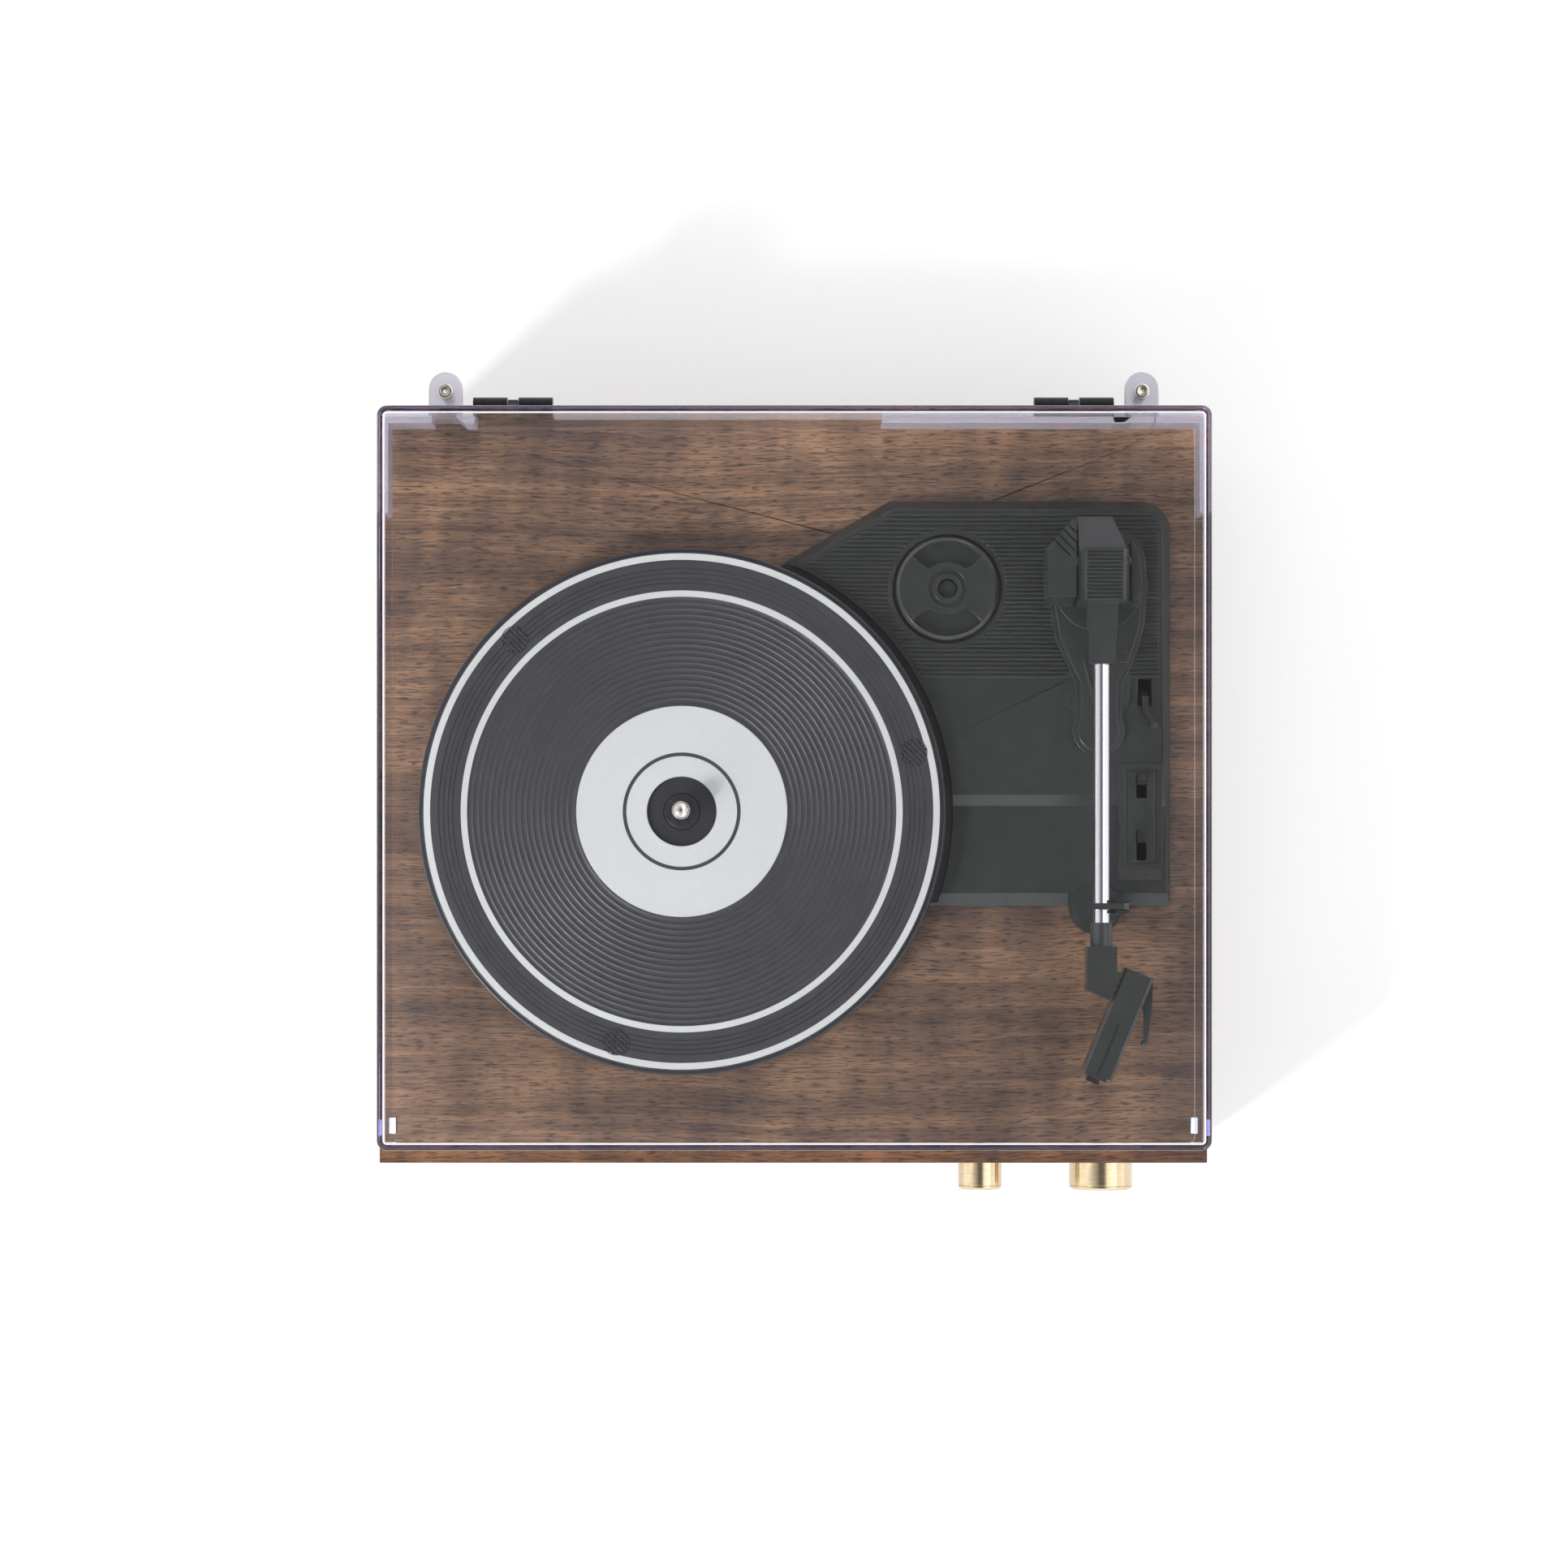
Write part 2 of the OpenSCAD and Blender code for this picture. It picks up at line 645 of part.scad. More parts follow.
// Places children in the headshell's frame: its rear end at the origin, its front along -Y
module in_shell() translate([shell_at.x, shell_at.y, 0]) rotate([0, 0, shell_turn]) children();

module headshell() color("#2c2e30") difference() {
    union() {
        in_shell() prism_y(-shell_l, 0, [[-shell_w / 2, plinth_top + 20], [shell_w / 2, plinth_top + 20],
            [shell_w / 2, plinth_top + 29], [shell_w / 2 - 1, plinth_top + 30],
            [1 - shell_w / 2, plinth_top + 30], [-shell_w / 2, plinth_top + 29]]);
        prism_z(23.5, 25.3, [[129.8, -71.5], [131.3, -73.9], [130.9, -82.4], [129.2, -94.3], [127.7, -94.9],
            [128, -84.4], [126.6, -80.3]]);
        translate([128.1, -95.4, plinth_top + 24.4]) sphere(r = 1.3, $fn = 32);
        in_shell() deck_box([-3.8, -shell_l - 1.3, 21], [3.8, -shell_l + 1, 28.6]);
    }
    in_shell() deck_box([-4.2, -shell_l + 1.6, 19], [4.2, -12, 27.5]);
    in_shell() deck_box([-0.5, -shell_l - 1, 29.3], [0.5, -shell_l / 2, 31]);
}

module cartridge() color("#1c1c1e") in_shell() difference() {
    deck_box([-4, -shell_l + 1.8, 18], [4, -18, 27.5]);
    deck_box([-2.6, -shell_l + 1, 17], [2.6, -shell_l + 8, 20.8]);
}

module stylus() color("#1c1c1e") in_shell() {
    deck_box([-2.5, -shell_l - 3.2, 18.2], [2.5, -shell_l + 8, 19.8]);
    translate([0, -shell_l + 3.4, plinth_top + 16.5]) cylinder(r1 = 0.3, r2 = 0.8, h = 1.8);
}

// The rest's footprint: a round lobe with a straight back
module rest_plan(margin, h0, h1) {
    post(rest_at, rest_r + margin, h0, h1);
    deck_box([rest_at.x - rest_r - margin, rest_at.y, h0], [rest_at.x + rest_r + margin, -39.3, h1]);
}

module arm_rest() color("#2e3032") difference() {
    union() {
        rest_plan(0, 0, 4);
        post(rest_at, 8.6, 3, 5);
        post(rest_at, 7.4, 3, 6);
        deck_box([108.6, -47.6, 5], [116.2, -42.8, 22.6]);
        deck_box([116, -47.6, 5], [122.2, -42.8, 18]);
        deck_box([117.4, -47.6, 17], [122.2, -42.8, 29]);
    }
    deck_box([117, -46.6, 23.4], [123, -43.8, 30]);
    bar_y(-48, -42, clip_hinge.x, plinth_top + clip_hinge.y, 0.8);
}

module arm_clip() color("#1c1d1f") {
    prism_y(-46.3, -44.1, [[119.4, plinth_top + 25.4], [121.6, plinth_top + 25.4],
        [121.6, plinth_top + 33.6], [119.6, plinth_top + 35.9], [106.7, plinth_top + 35.9],
        [106.7, plinth_top + 34.3], [118.8, plinth_top + 34.3], [119.4, plinth_top + 33.6]]);
    bar_y(-47.6, -42.8, clip_hinge.x, plinth_top + clip_hinge.y, 0.75);
}

// ---- Levers and switches ----

module cue_lever() color("#1c1d1f") {
    bar_x(129, 131.4, cue_axis.x, plinth_top + cue_axis.y, 2.5);
    bar_x(126.2, 134.4, cue_axis.x, plinth_top + cue_axis.y, 1.2);
    prism_x(129, 131.4, [[31.6, plinth_top + 3], [34.6, plinth_top + 3], [32.9, plinth_top + 10.6],
        [26.5, plinth_top + 10.9], [26.5, plinth_top + 9.1], [30.7, plinth_top + 8.8]]);
    prism_z(9.2, 10.8, [[129, 28], [131.4, 28], [134.1, 22.6], [132.6, 21.7]]);
    translate([133.4, 22.1, plinth_top + 10]) sphere(r = 1.35, $fn = 32);
}

module slide_button(y0, y1) color("#161718") {
    deck_box([127.4, y0, 5.6], [130.6, y1, 9.9]);
    for (y = [y0 : (y1 - y0 - 0.6) / 3 : y1]) deck_box([127.4, y, 9.9], [130.6, y + 0.6, 10.5]);
    deck_box([125.4, y0 + 0.4, 4.2], [132.6, y1 - 0.4, 5.8]);
}

module speed_switch() slide_button(-21.3 + 0.1, -16.4);
module auto_stop_switch() slide_button(0.3, 4.3);

// ---- Lid ----

function rounded(x, y0, y1, r) = [for (q = [0:3]) for (a = [0:15:90])
    let(cx = (q == 0 || q == 3 ? x - r : r - x), cy = (q < 2 ? y1 - r : y0 + r))
    [cx + r * cos(a + q * 90), cy + r * sin(a + q * 90)]];

module lid_form(inset, z0, z1) hull() {
    translate([0, 0, z0]) linear_extrude(0.1)
        polygon(rounded(151.5 - inset, -134.1 + inset, 135.4 - inset, 3.6 - inset));
    translate([0, 0, z1 - 1.5]) linear_extrude(0.1)
        polygon(rounded(150.2 - inset, -133.3 + inset, 134.8 - inset, 3.6 - inset));
    translate([0, 0, z1 - 0.1]) linear_extrude(0.1)
        polygon(rounded(148.8 - inset, -131.9 + inset, 133.4 - inset, 3 - inset));
}

lid_z0 = plinth_top + 0.8;
tab_y = 146.15;
tab_z = 91.5;

module lid() color("#c8c6d8", 0.4) difference() {
    union() {
        lid_form(0, lid_z0, lid_top);
        for (x = tab_xs) {
            translate([x, tab_y, tab_z]) cylinder(r = 6.25, h = 2.5);
            box([x - 6.25, 134, tab_z], [x + 6.25, tab_y, tab_z + 2.5]);
        }
    }
    lid_form(lid_t, lid_z0 - 1, lid_top - lid_t);
    for (x = tab_xs) translate([x, tab_y - 1, tab_z - 1]) cylinder(r = 1.6, h = 5);
}

module lid_bumpers() color("white") for (side = [-1, 1])
    box([side * 149.8 - 1.5, -129.4, plinth_top + 0.1], [side * 149.8 + 1.5, -123.4, lid_z0]);

module lid_stop_screws() color("silver") for (x = tab_xs) translate([x, tab_y - 1, 0]) {
    translate([0, 0, tab_z + 2.5]) cylinder(r = 2.8, h = 1.5);
    translate([0, 0, tab_z - 1]) cylinder(r = 1.5, h = 4);
    translate([0, 0, 78.4]) cylinder(r = 2.6, h = tab_z - 78.4);
}

knuckle_l = 12.7;
knuckle_gap = 4.2;
leaf_half = knuckle_l + knuckle_gap / 2;

module hinge_base(x) color("#1c1c1c") difference() {
    union() {
        for (side = [-1, 1]) {
            start = side < 0 ? x - leaf_half : x + knuckle_gap / 2;
            bar_x(start, start + knuckle_l, hinge_y, hinge_z, 3);
            box([start, plinth_back, 76], [start + knuckle_l, plinth_back + 2, hinge_z]);
        }
        box([x - leaf_half, plinth_back, 62], [x + leaf_half, plinth_back + 2, 77.5]);
        for (dx = [-9, 9]) bar_y(plinth_back + 1, plinth_back + 3, x + dx, 69, 2.6);
    }
    bar_x(x - 20, x + 20, hinge_y, hinge_z, 1.01);
}

module hinge_bases() for (x = hinge_xs) hinge_base(x);

module hinge_leaf(x) color("#1c1c1c") difference() {
    union() {
        bar_x(x - 1.8, x + 1.8, hinge_y, hinge_z, 2.2);
        prism_x(x - 1.8, x + 1.8, [[141.2, 84], [142.6, 80.6], [143.9, 82.8], [137, 90.5], [135.6, 90.5],
            [135.6, 88.6]]);
        box([x - 10, 135.42, 88], [x + 10, 136.8, 99]);
    }
    bar_x(x - 5, x + 5, hinge_y, hinge_z, 1.08);
}

module hinge_leaves() for (x = hinge_xs) hinge_leaf(x);

module hinge_pins() color("silver") for (x = hinge_xs)
    bar_x(x - leaf_half, x + leaf_half, hinge_y, hinge_z, 1);

top_board();
front_board();
back_board();
left_board();
right_board();
bottom_board();
foot(foot_at[0]);  // foot_front_left
foot(foot_at[1]);  // foot_front_right
foot(foot_at[2]);  // foot_rear_left
foot(foot_at[3]);  // foot_rear_right
foot_screws();
grille_frame();
grille_cloth();
speaker_left();
speaker_right();
speaker_cones();
main_board();
volume_pot();
selector_switch();
volume_knob();
selector_knob();
jack_plate();
dc_jack();
rca_jacks();
aux_jack();
deck_plate();
deck_screws();
motor();
motor_pulley();
drive_belt();
spindle();
thrust_washer();
spindle_clip();
platter();
platter_bush();
platter_mat();
grip_pads();
arm_base();
arm_rest();
arm_clip();
arm_yoke();
pitch_pin();
lift_rod();
arm_block();
counterweight();
arm_tube();
arm_elbow();
headshell();
cartridge();
stylus();
cue_lever();
speed_switch();
auto_stop_switch();
adapter_45();
lid();
lid_bumpers();
lid_stop_screws();
hinge_bases();
hinge_leaves();
hinge_pins();
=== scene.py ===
import bpy
import numpy as np
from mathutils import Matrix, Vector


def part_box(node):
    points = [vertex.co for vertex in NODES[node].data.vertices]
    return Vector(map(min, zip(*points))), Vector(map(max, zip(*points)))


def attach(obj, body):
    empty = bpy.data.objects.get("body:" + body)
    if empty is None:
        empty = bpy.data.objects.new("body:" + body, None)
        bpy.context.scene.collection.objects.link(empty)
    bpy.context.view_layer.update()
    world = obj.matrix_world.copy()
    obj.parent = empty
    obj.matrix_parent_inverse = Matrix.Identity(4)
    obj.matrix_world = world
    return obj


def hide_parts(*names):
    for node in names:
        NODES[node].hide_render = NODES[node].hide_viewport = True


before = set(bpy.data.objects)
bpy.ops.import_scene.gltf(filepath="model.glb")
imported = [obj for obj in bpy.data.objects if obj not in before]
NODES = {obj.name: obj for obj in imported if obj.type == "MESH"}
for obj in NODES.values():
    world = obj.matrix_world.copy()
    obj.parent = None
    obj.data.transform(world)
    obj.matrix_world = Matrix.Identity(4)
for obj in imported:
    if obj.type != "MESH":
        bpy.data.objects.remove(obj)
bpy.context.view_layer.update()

bl_info = {
    "name": "Belt-drive record player",
    "version": (1, 0, 0),
    "blender": (4, 5, 0),
    "location": "View3D > Sidebar > Record Player",
    "description": "Dresses the packed frame of a small record player with its visible surfaces",
    "category": "Object",
}

MM = 0.001
ROOT = "plinth"
SIDES = 160                       # sides of a large turned part

# millimetres, from the floor up and from the middle of the plinth outwards
DECK_Z = 80.0                     # top of the plinth, which the heights on the deck count from
KNOB_BACK = -141.6                # y of the knobs' rear rims
STOP_X, STOP_Y = 128.5, 145.15    # the two stop screws behind the cover
TAB_HEIGHTS = (91.5, 94.0)        # under side and top of the tabs that the stop screws hold


def box_mm(node):
    """The low and high corners of a CAD node's box, in millimetres."""
    return [np.array(corner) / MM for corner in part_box(node)]


def middle(node):
    """The middle of a CAD node's box, in millimetres."""
    low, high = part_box(node)
    return np.array((low + high) / 2) / MM


SPINDLE = middle("spindle")[:2]
ADAPTER = middle("adapter_45")[:2]
TUBE = middle("arm_tube")


# ---- Shapes ----

class Shape:
    """The points and faces of one piece, gathered part by part, in millimetres."""

    def __init__(self):
        self.points, self.faces, self.finishes, self.count = [], [], [], 0

    def loft(self, rings, finish=0, caps=True, close_rows=False):
        """Joins each ring of points to the next one by quads, and closes both ends with one face each.
        With close_rows the last ring joins the first instead, as round a torus. finish is one number, or
        one for each gap between rings. A closed part whose signed volume comes out negative is turned
        the right way out."""
        rings = np.asarray(rings, float)
        rows, cols = rings.shape[:2]
        row = np.arange(rows if close_rows else rows - 1)[:, None]
        col = np.arange(cols)[None, :]
        up, on = (row + 1) % rows, (col + 1) % cols
        quads = np.stack([row * cols + col, row * cols + on, up * cols + on, up * cols + col], -1)
        kinds = np.broadcast_to(np.reshape(finish, (-1, 1)), quads.shape[:2]).ravel()
        quads = quads.reshape(-1, 4)
        capped = caps and not close_rows
        ends = [np.arange(cols)[::-1], (rows - 1) * cols + np.arange(cols)] if capped else []
        flat = rings.reshape(-1, 3)
        a, b, c, d = (flat[quads[:, k]] for k in range(4))
        volume = np.einsum("ij,ij->", a, np.cross(b, c)) + np.einsum("ij,ij->", a, np.cross(c, d))
        for end in ends:
            fan = flat[end]
            volume += np.einsum("j,ij->", fan[0], np.cross(fan[1:-1], fan[2:]))
        step = 1 if volume >= 0 else -1
        self.points.append(flat)
        self.faces += (quads[:, ::step] + self.count).tolist()
        self.faces += [(end[::step] + self.count).tolist() for end in ends]
        self.finishes += kinds.tolist() + [int(np.ravel(finish)[k]) for k in (0, -1)][:len(ends)]
        self.count += len(flat)
        return self

    def piece(self, name, body, slot, materials, replaced=(), smooth_deg=35.0):
        """Makes the mesh object, in place at the origin, riding on its body. Edges sharper than
        smooth_deg stay sharp; at 0 the faces stay flat."""
        mesh = bpy.data.meshes.new(name)
        mesh.from_pydata(np.concatenate(self.points) * MM, [], self.faces)
        for material in materials:
            mesh.materials.append(material)
        mesh.polygons.foreach_set("material_index", np.array(self.finishes, np.int32))
        if smooth_deg:
            mesh.shade_smooth()
            mesh.set_sharp_from_angle(angle=np.radians(smooth_deg))
        mesh.validate()
        made = bpy.data.objects.new(name, mesh)
        bpy.context.scene.collection.objects.link(made)
        if smooth_deg:
            made.modifiers.new("even_normals", "WEIGHTED_NORMAL").keep_sharp = True
        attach(made, body)
        if replaced:
            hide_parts(*replaced)
        return made


def turned(profile, centre, sides=SIDES, along="z"):
    """Rings of a turned part: each profile point, a radius and a height, is carried round the axis, so
    x = r cos t, y = r sin t and z = height, or the same round the y axis."""
    profile = np.asarray(profile, float)
    t = np.linspace(0, 2 * np.pi, sides, endpoint=False)
    r, h = profile[:, :1], profile[:, 1:]
    u, v, w = r * np.cos(t), r * np.sin(t), np.broadcast_to(h, (len(r), sides))
    return np.stack([u, v, w] if along == "z" else [u, w, v], -1) + np.array(centre, float)


def arc(cx, cy, r, start, end, steps=5):
    """Points on a circle's arc, from one angle in degrees to another."""
    t = np.radians(np.linspace(start, end, steps))
    return np.stack([cx + r * np.cos(t), cy + r * np.sin(t)], -1)


def rounded_box_ring(low, high, radius, z, steps=9):
    """One ring round a rectangle with rounded corners: four quarter circles whose ends are joined."""
    west, south, east, north = low[0] + radius, low[1] + radius, high[0] - radius, high[1] - radius
    centres = [(east, north), (west, north), (west, south), (east, south)]
    ring = np.concatenate([arc(x, y, radius, 90 * k, 90 * k + 90, steps) for k, (x, y) in enumerate(centres)])
    return np.column_stack([ring, np.full(len(ring), z)])


def inset(outline, distance):
    """An outline moved inwards: each corner goes along the sum of its two edges' normals, as far as
    keeps every edge at the distance."""
    p = np.asarray(outline, float)
    ahead, behind = np.roll(p, -1, 0) - p, p - np.roll(p, 1, 0)
    both = sum(np.stack([-e[:, 1], e[:, 0]], -1) / np.linalg.norm(e, axis=1)[:, None]
               for e in (ahead, behind))
    area = np.sum(p[:, 0] * np.roll(p[:, 1], -1) - p[:, 1] * np.roll(p[:, 0], -1))
    return p + np.sign(area) * distance * 2 * both / np.sum(both ** 2, 1)[:, None]


def plate(outline, profile):
    """Rings of a moulded plate: its outline, moved inwards and lifted by each pair of the profile."""
    return np.stack([np.column_stack([inset(outline, d), np.full(len(outline), z)]) for d, z in profile])


def moulded(outline, z0, z1, edge):
    """A plate between two heights whose upper and lower edges are rounded by a quarter circle."""
    quarter = np.linspace(0, np.pi / 2, 4)
    low = [(edge * (1 - np.sin(t)), z0 + edge * (1 - np.cos(t))) for t in quarter]
    high = [(edge * (1 - np.cos(t)), z1 - edge * (1 - np.sin(t))) for t in quarter]
    return plate(outline, low + high)


# ---- Materials ----

def linear(code):
    """The linear colour of an sRGB hex code."""
    c = np.array([int(code[k:k + 2], 16) for k in (1, 3, 5)]) / 255
    return (*np.where(c <= 0.04045, c / 12.92, ((c + 0.055) / 1.055) ** 2.4), 1.0)


def add(tree, kind, values=(), links=(), stops=(), **settings):
    """Adds one shader node with its settings, its constant sockets, its ramp's stops and its links."""
    made = tree.nodes.new("ShaderNode" + kind)
    for key, value in settings.items():
        setattr(made, key, value)
    for key, value in dict(values).items():
        made.inputs[key].default_value = value
    for key, source in dict(links).items():
        tree.links.new(source, made.inputs[key])
    for k, (at, colour) in enumerate(stops):
        stop = made.color_ramp.elements[k] if k < 2 else made.color_ramp.elements.new(at)
        stop.position, stop.color = at, colour
    return made


def grey(value):
    """A linear grey, opaque."""
    return (value, value, value, 1)


def blend(tree, first, second, how="MULTIPLY"):
    """The colour socket of two colours multiplied, or added, in full."""
    return add(tree, "Mix", {"Factor": 1.0}, {6: first, 7: second}, data_type="RGBA",
               blend_type=how).outputs[2]


def start(name, colour, roughness, metallic=0.0, **sockets):
    """A new material with its constants on the shader's own sockets; returns it, its tree and shader."""
    made = bpy.data.materials.new(name)
    made.use_nodes = True
    made.diffuse_color = linear(colour)
    shader = made.node_tree.nodes["Principled BSDF"]
    shader.inputs["Base Color"].default_value = linear(colour)
    shader.inputs["Roughness"].default_value = roughness
    shader.inputs["Metallic"].default_value = metallic
    for key, value in sockets.items():
        shader.inputs[key.replace("_", " ")].default_value = value
    return made, made.node_tree, shader


def place(tree, cells_mm, turn=(0, 0, 0), shift=(0, 0, 0)):
    """Object coordinates divided by a cell size in millimetres along each axis."""
    where = add(tree, "TexCoord")
    return add(tree, "Mapping", {"Scale": tuple(1000 / c for c in cells_mm), "Rotation": turn,
                                 "Location": shift}, {"Vector": where.outputs["Object"]}).outputs["Vector"]


def finish(name, colour, shade, roughness, grain_mm, bump_mm=0.0, spread=0.06, metallic=0.0,
           stretch=(1, 1, 1), detail=4.0, **sockets):
    """A finish whose colour drifts between two shades and whose height ripples, both by noise with cells
    of the given size; the roughness drifts with it by the spread."""
    made, tree, shader = start(name, colour, roughness, metallic, **sockets)
    noise = add(tree, "TexNoise", {"Scale": 1.0, "Detail": detail, "Roughness": 0.55},
                {"Vector": place(tree, [grain_mm * s for s in stretch])})
    tint = add(tree, "ValToRGB", links={"Fac": noise.outputs["Fac"]},
               stops=((0.3, linear(shade)), (0.7, linear(colour))))
    tree.links.new(tint.outputs["Color"], shader.inputs["Base Color"])
    rough = add(tree, "MapRange", {"To Min": roughness - spread, "To Max": roughness + spread},
                {"Value": noise.outputs["Fac"]})
    tree.links.new(rough.outputs["Result"], shader.inputs["Roughness"])
    if bump_mm:
        bump = add(tree, "Bump", {"Strength": 1.0, "Distance": bump_mm * MM},
                   {"Height": noise.outputs["Fac"]})
        tree.links.new(bump.outputs["Normal"], shader.inputs["Normal"])
    return made


def walnut(name, along, dark, middle_tone, light):
    """Walnut veneer under a satin lacquer. The coordinates are first bent sideways by a slow noise, so
    that every layer wanders together. The growth bands are noise stretched along the grain, the figure is
    slanting clouds across the board, and the pores are short dark dashes about half a millimetre wide,
    a little coarser than real ones so that they show. A painted light gradient makes the board lighter
    towards the back, and what lies in front of cut_edge, where the veneer is cut, is redder."""
    made, tree, shader = start(name, middle_tone, 0.45)
    sideways = 1 if along == "x" else 0
    cut_edge = -0.1338            # y in metres; the redness is full 0.8 mm further on
    board_back = 0.1              # y in metres, as far as the painted light gradient reaches
    where = add(tree, "TexCoord").outputs["Object"]

    def cells(length, width):
        """The scale that gives cells this long along the grain and this wide across it, in millimetres."""
        size = (length, width) if along == "x" else (width, length)
        return tuple(1000 / c for c in (*size, width))

    slow = add(tree, "Mapping", {"Scale": cells(150, 60)}, {"Vector": where})
    bend = add(tree, "TexNoise", {"Scale": 1.0, "Detail": 2.0}, {"Vector": slow.outputs["Vector"]})
    push = add(tree, "Math", {1: 0.014}, {0: bend.outputs["Fac"]}, operation="MULTIPLY")
    push = add(tree, "CombineXYZ", links={sideways: push.outputs["Value"]})
    bent = add(tree, "VectorMath", links={0: where, 1: push.outputs["Vector"]},
               operation="ADD").outputs["Vector"]

    def layer(size, detail, rough, reach, turn=0.0, distortion=0.0):
        """Noise with cells of the given size, stretched to run from -reach to reach."""
        spread = add(tree, "Mapping", {"Scale": size, "Rotation": (0, 0, turn)}, {"Vector": bent})
        noise = add(tree, "TexNoise", {"Scale": 1.0, "Detail": detail, "Roughness": rough,
                                       "Distortion": distortion}, {"Vector": spread.outputs["Vector"]})
        return add(tree, "MapRange", {"From Min": 0.3, "From Max": 0.7, "To Min": -reach, "To Max": reach},
                   {"Value": noise.outputs["Fac"]}).outputs["Result"]

    def dashes(size, start_at, depth):
        """Short dark marks: where stretched noise falls under a level, the colour drops at once to the
        depth, a factor from 0 to 1."""
        spread = add(tree, "Mapping", {"Scale": size}, {"Vector": bent})
        noise = add(tree, "TexNoise", {"Scale": 1.0, "Detail": 1.0, "Roughness": 0.5},
                    {"Vector": spread.outputs["Vector"]})
        return add(tree, "ValToRGB", links={"Fac": noise.outputs["Fac"]},
                   stops=((start_at - 0.06, grey(depth)), (start_at, grey(1)))).outputs["Color"]

    bands = layer(cells(260, 7), 4.0, 0.6, 0.2)
    figure = layer(cells(16, 40), 2.0, 0.5, 0.12, 0.35, 0.3)
    clouds = layer(cells(70, 60), 2.0, 0.5, 0.12)
    fibres = layer(cells(22, 0.8), 2.0, 0.6, 0.13)
    mixed = bands
    for more in (figure, clouds, fibres):
        mixed = add(tree, "Math", links={0: mixed, 1: more}, operation="ADD").outputs["Value"]
    ramp = add(tree, "ValToRGB", links={"Fac": add(tree, "Math", {1: 0.5}, {0: mixed}).outputs["Value"]},
               stops=((0.26, linear(dark)), (0.76, linear(light)), (0.52, linear(middle_tone))))
    pores = dashes(cells(5.5, 0.62), 0.44, 0.34)
    grained = blend(tree, ramp.outputs["Color"], pores)
    grained = blend(tree, grained, dashes(cells(15, 0.8), 0.37, 0.5))
    far = add(tree, "SeparateXYZ", links={"Vector": where}).outputs["Y"]
    edge = add(tree, "MapRange", {"From Min": cut_edge, "From Max": cut_edge - 0.0008}, {"Value": far})
    # painted light: a colour gradient that lightens the board towards the back, standing in for the stronger
    # light there
    painted_light_gradient = add(tree, "MapRange", {"From Min": -board_back, "From Max": board_back, "To Min": 0.95,
                                   "To Max": 1.22}, {"Value": far})
    grained = blend(tree, grained, painted_light_gradient.outputs["Result"])
    redder = add(tree, "Mix", {7: (1.06, 0.78, 0.62, 1)}, {"Factor": edge.outputs["Result"], 6: grained},
                 data_type="RGBA", blend_type="MULTIPLY")
    tree.links.new(redder.outputs[2], shader.inputs["Base Color"])
    bump = add(tree, "Bump", {"Strength": 0.3, "Distance": 0.03 * MM}, {"Height": pores})
    tree.links.new(bump.outputs["Normal"], shader.inputs["Normal"])
    return made


def woven(name, yarn, gap, pitch_mm):
    """Plain-woven polyester. Warp and weft are two waves at right angles, whose crests take turns to lie
    on top; the pitch is a little coarser than real, so that the yarns show."""
    made, tree, shader = start(name, yarn, 0.9, Sheen_Weight=0.15)
    at = place(tree, (pitch_mm,) * 3)
    split = add(tree, "SeparateXYZ", links={"Vector": at})
    waves = []
    for axis in ("X", "Z"):
        turns = add(tree, "Math", {1: np.pi}, {0: split.outputs[axis]}, operation="MULTIPLY")
        waves.append(add(tree, "Math", links={0: turns.outputs["Value"]}, operation="SINE").outputs["Value"])
    over = add(tree, "Math", links={0: waves[0], 1: waves[1]}, operation="MULTIPLY")
    lift = add(tree, "Math", links={0: over.outputs["Value"]}, operation="ABSOLUTE")
    tint = add(tree, "ValToRGB", links={"Fac": lift.outputs["Value"]},
               stops=((0.05, linear(gap)), (0.6, linear(yarn))))
    bump = add(tree, "Bump", {"Strength": 0.8, "Distance": 0.15 * MM}, {"Height": lift.outputs["Value"]})
    tree.links.new(tint.outputs["Color"], shader.inputs["Base Color"])
    tree.links.new(bump.outputs["Normal"], shader.inputs["Normal"])
    return made


def clear_styrene(name, tint, shadow, ior):
    """Crystal polystyrene, injection moulded: clear on the flat, with a violet cast that grows with the
    length of plastic looked through. Shadow rays go straight through it, dimmed to the shadow colour, so
    what lies under it is lit almost as in the open."""
    made, tree, shader = start(name, tint, 0.0, Transmission_Weight=1.0, IOR=ior)
    inside = add(tree, "VolumeAbsorption", {"Color": linear("#B9A6E8"), "Density": 32.0})
    tree.links.new(inside.outputs["Volume"], tree.nodes["Material Output"].inputs["Volume"])
    straight = add(tree, "BsdfTransparent", {"Color": linear(shadow)})
    path = add(tree, "LightPath")
    mixed = add(tree, "MixShader", links={0: path.outputs["Is Shadow Ray"], 1: shader.outputs["BSDF"],
                                          2: straight.outputs["BSDF"]})
    tree.links.new(mixed.outputs["Shader"], tree.nodes["Material Output"].inputs["Surface"])
    return made


def frosted_styrene(name, tint):
    """The same plastic where the mould was left rough: it lets light through but scatters it, so thick
    blocks look pale and milky."""
    made, tree, shader = start(name, tint, 0.15, Transmission_Weight=0.72, IOR=1.55)
    noise = add(tree, "TexNoise", {"Scale": 1.0, "Detail": 2.0}, {"Vector": place(tree, (8, 8, 8))})
    rough = add(tree, "MapRange", {"To Min": 0.12, "To Max": 0.18}, {"Value": noise.outputs["Fac"]})
    tree.links.new(rough.outputs["Result"], shader.inputs["Roughness"])
    return made


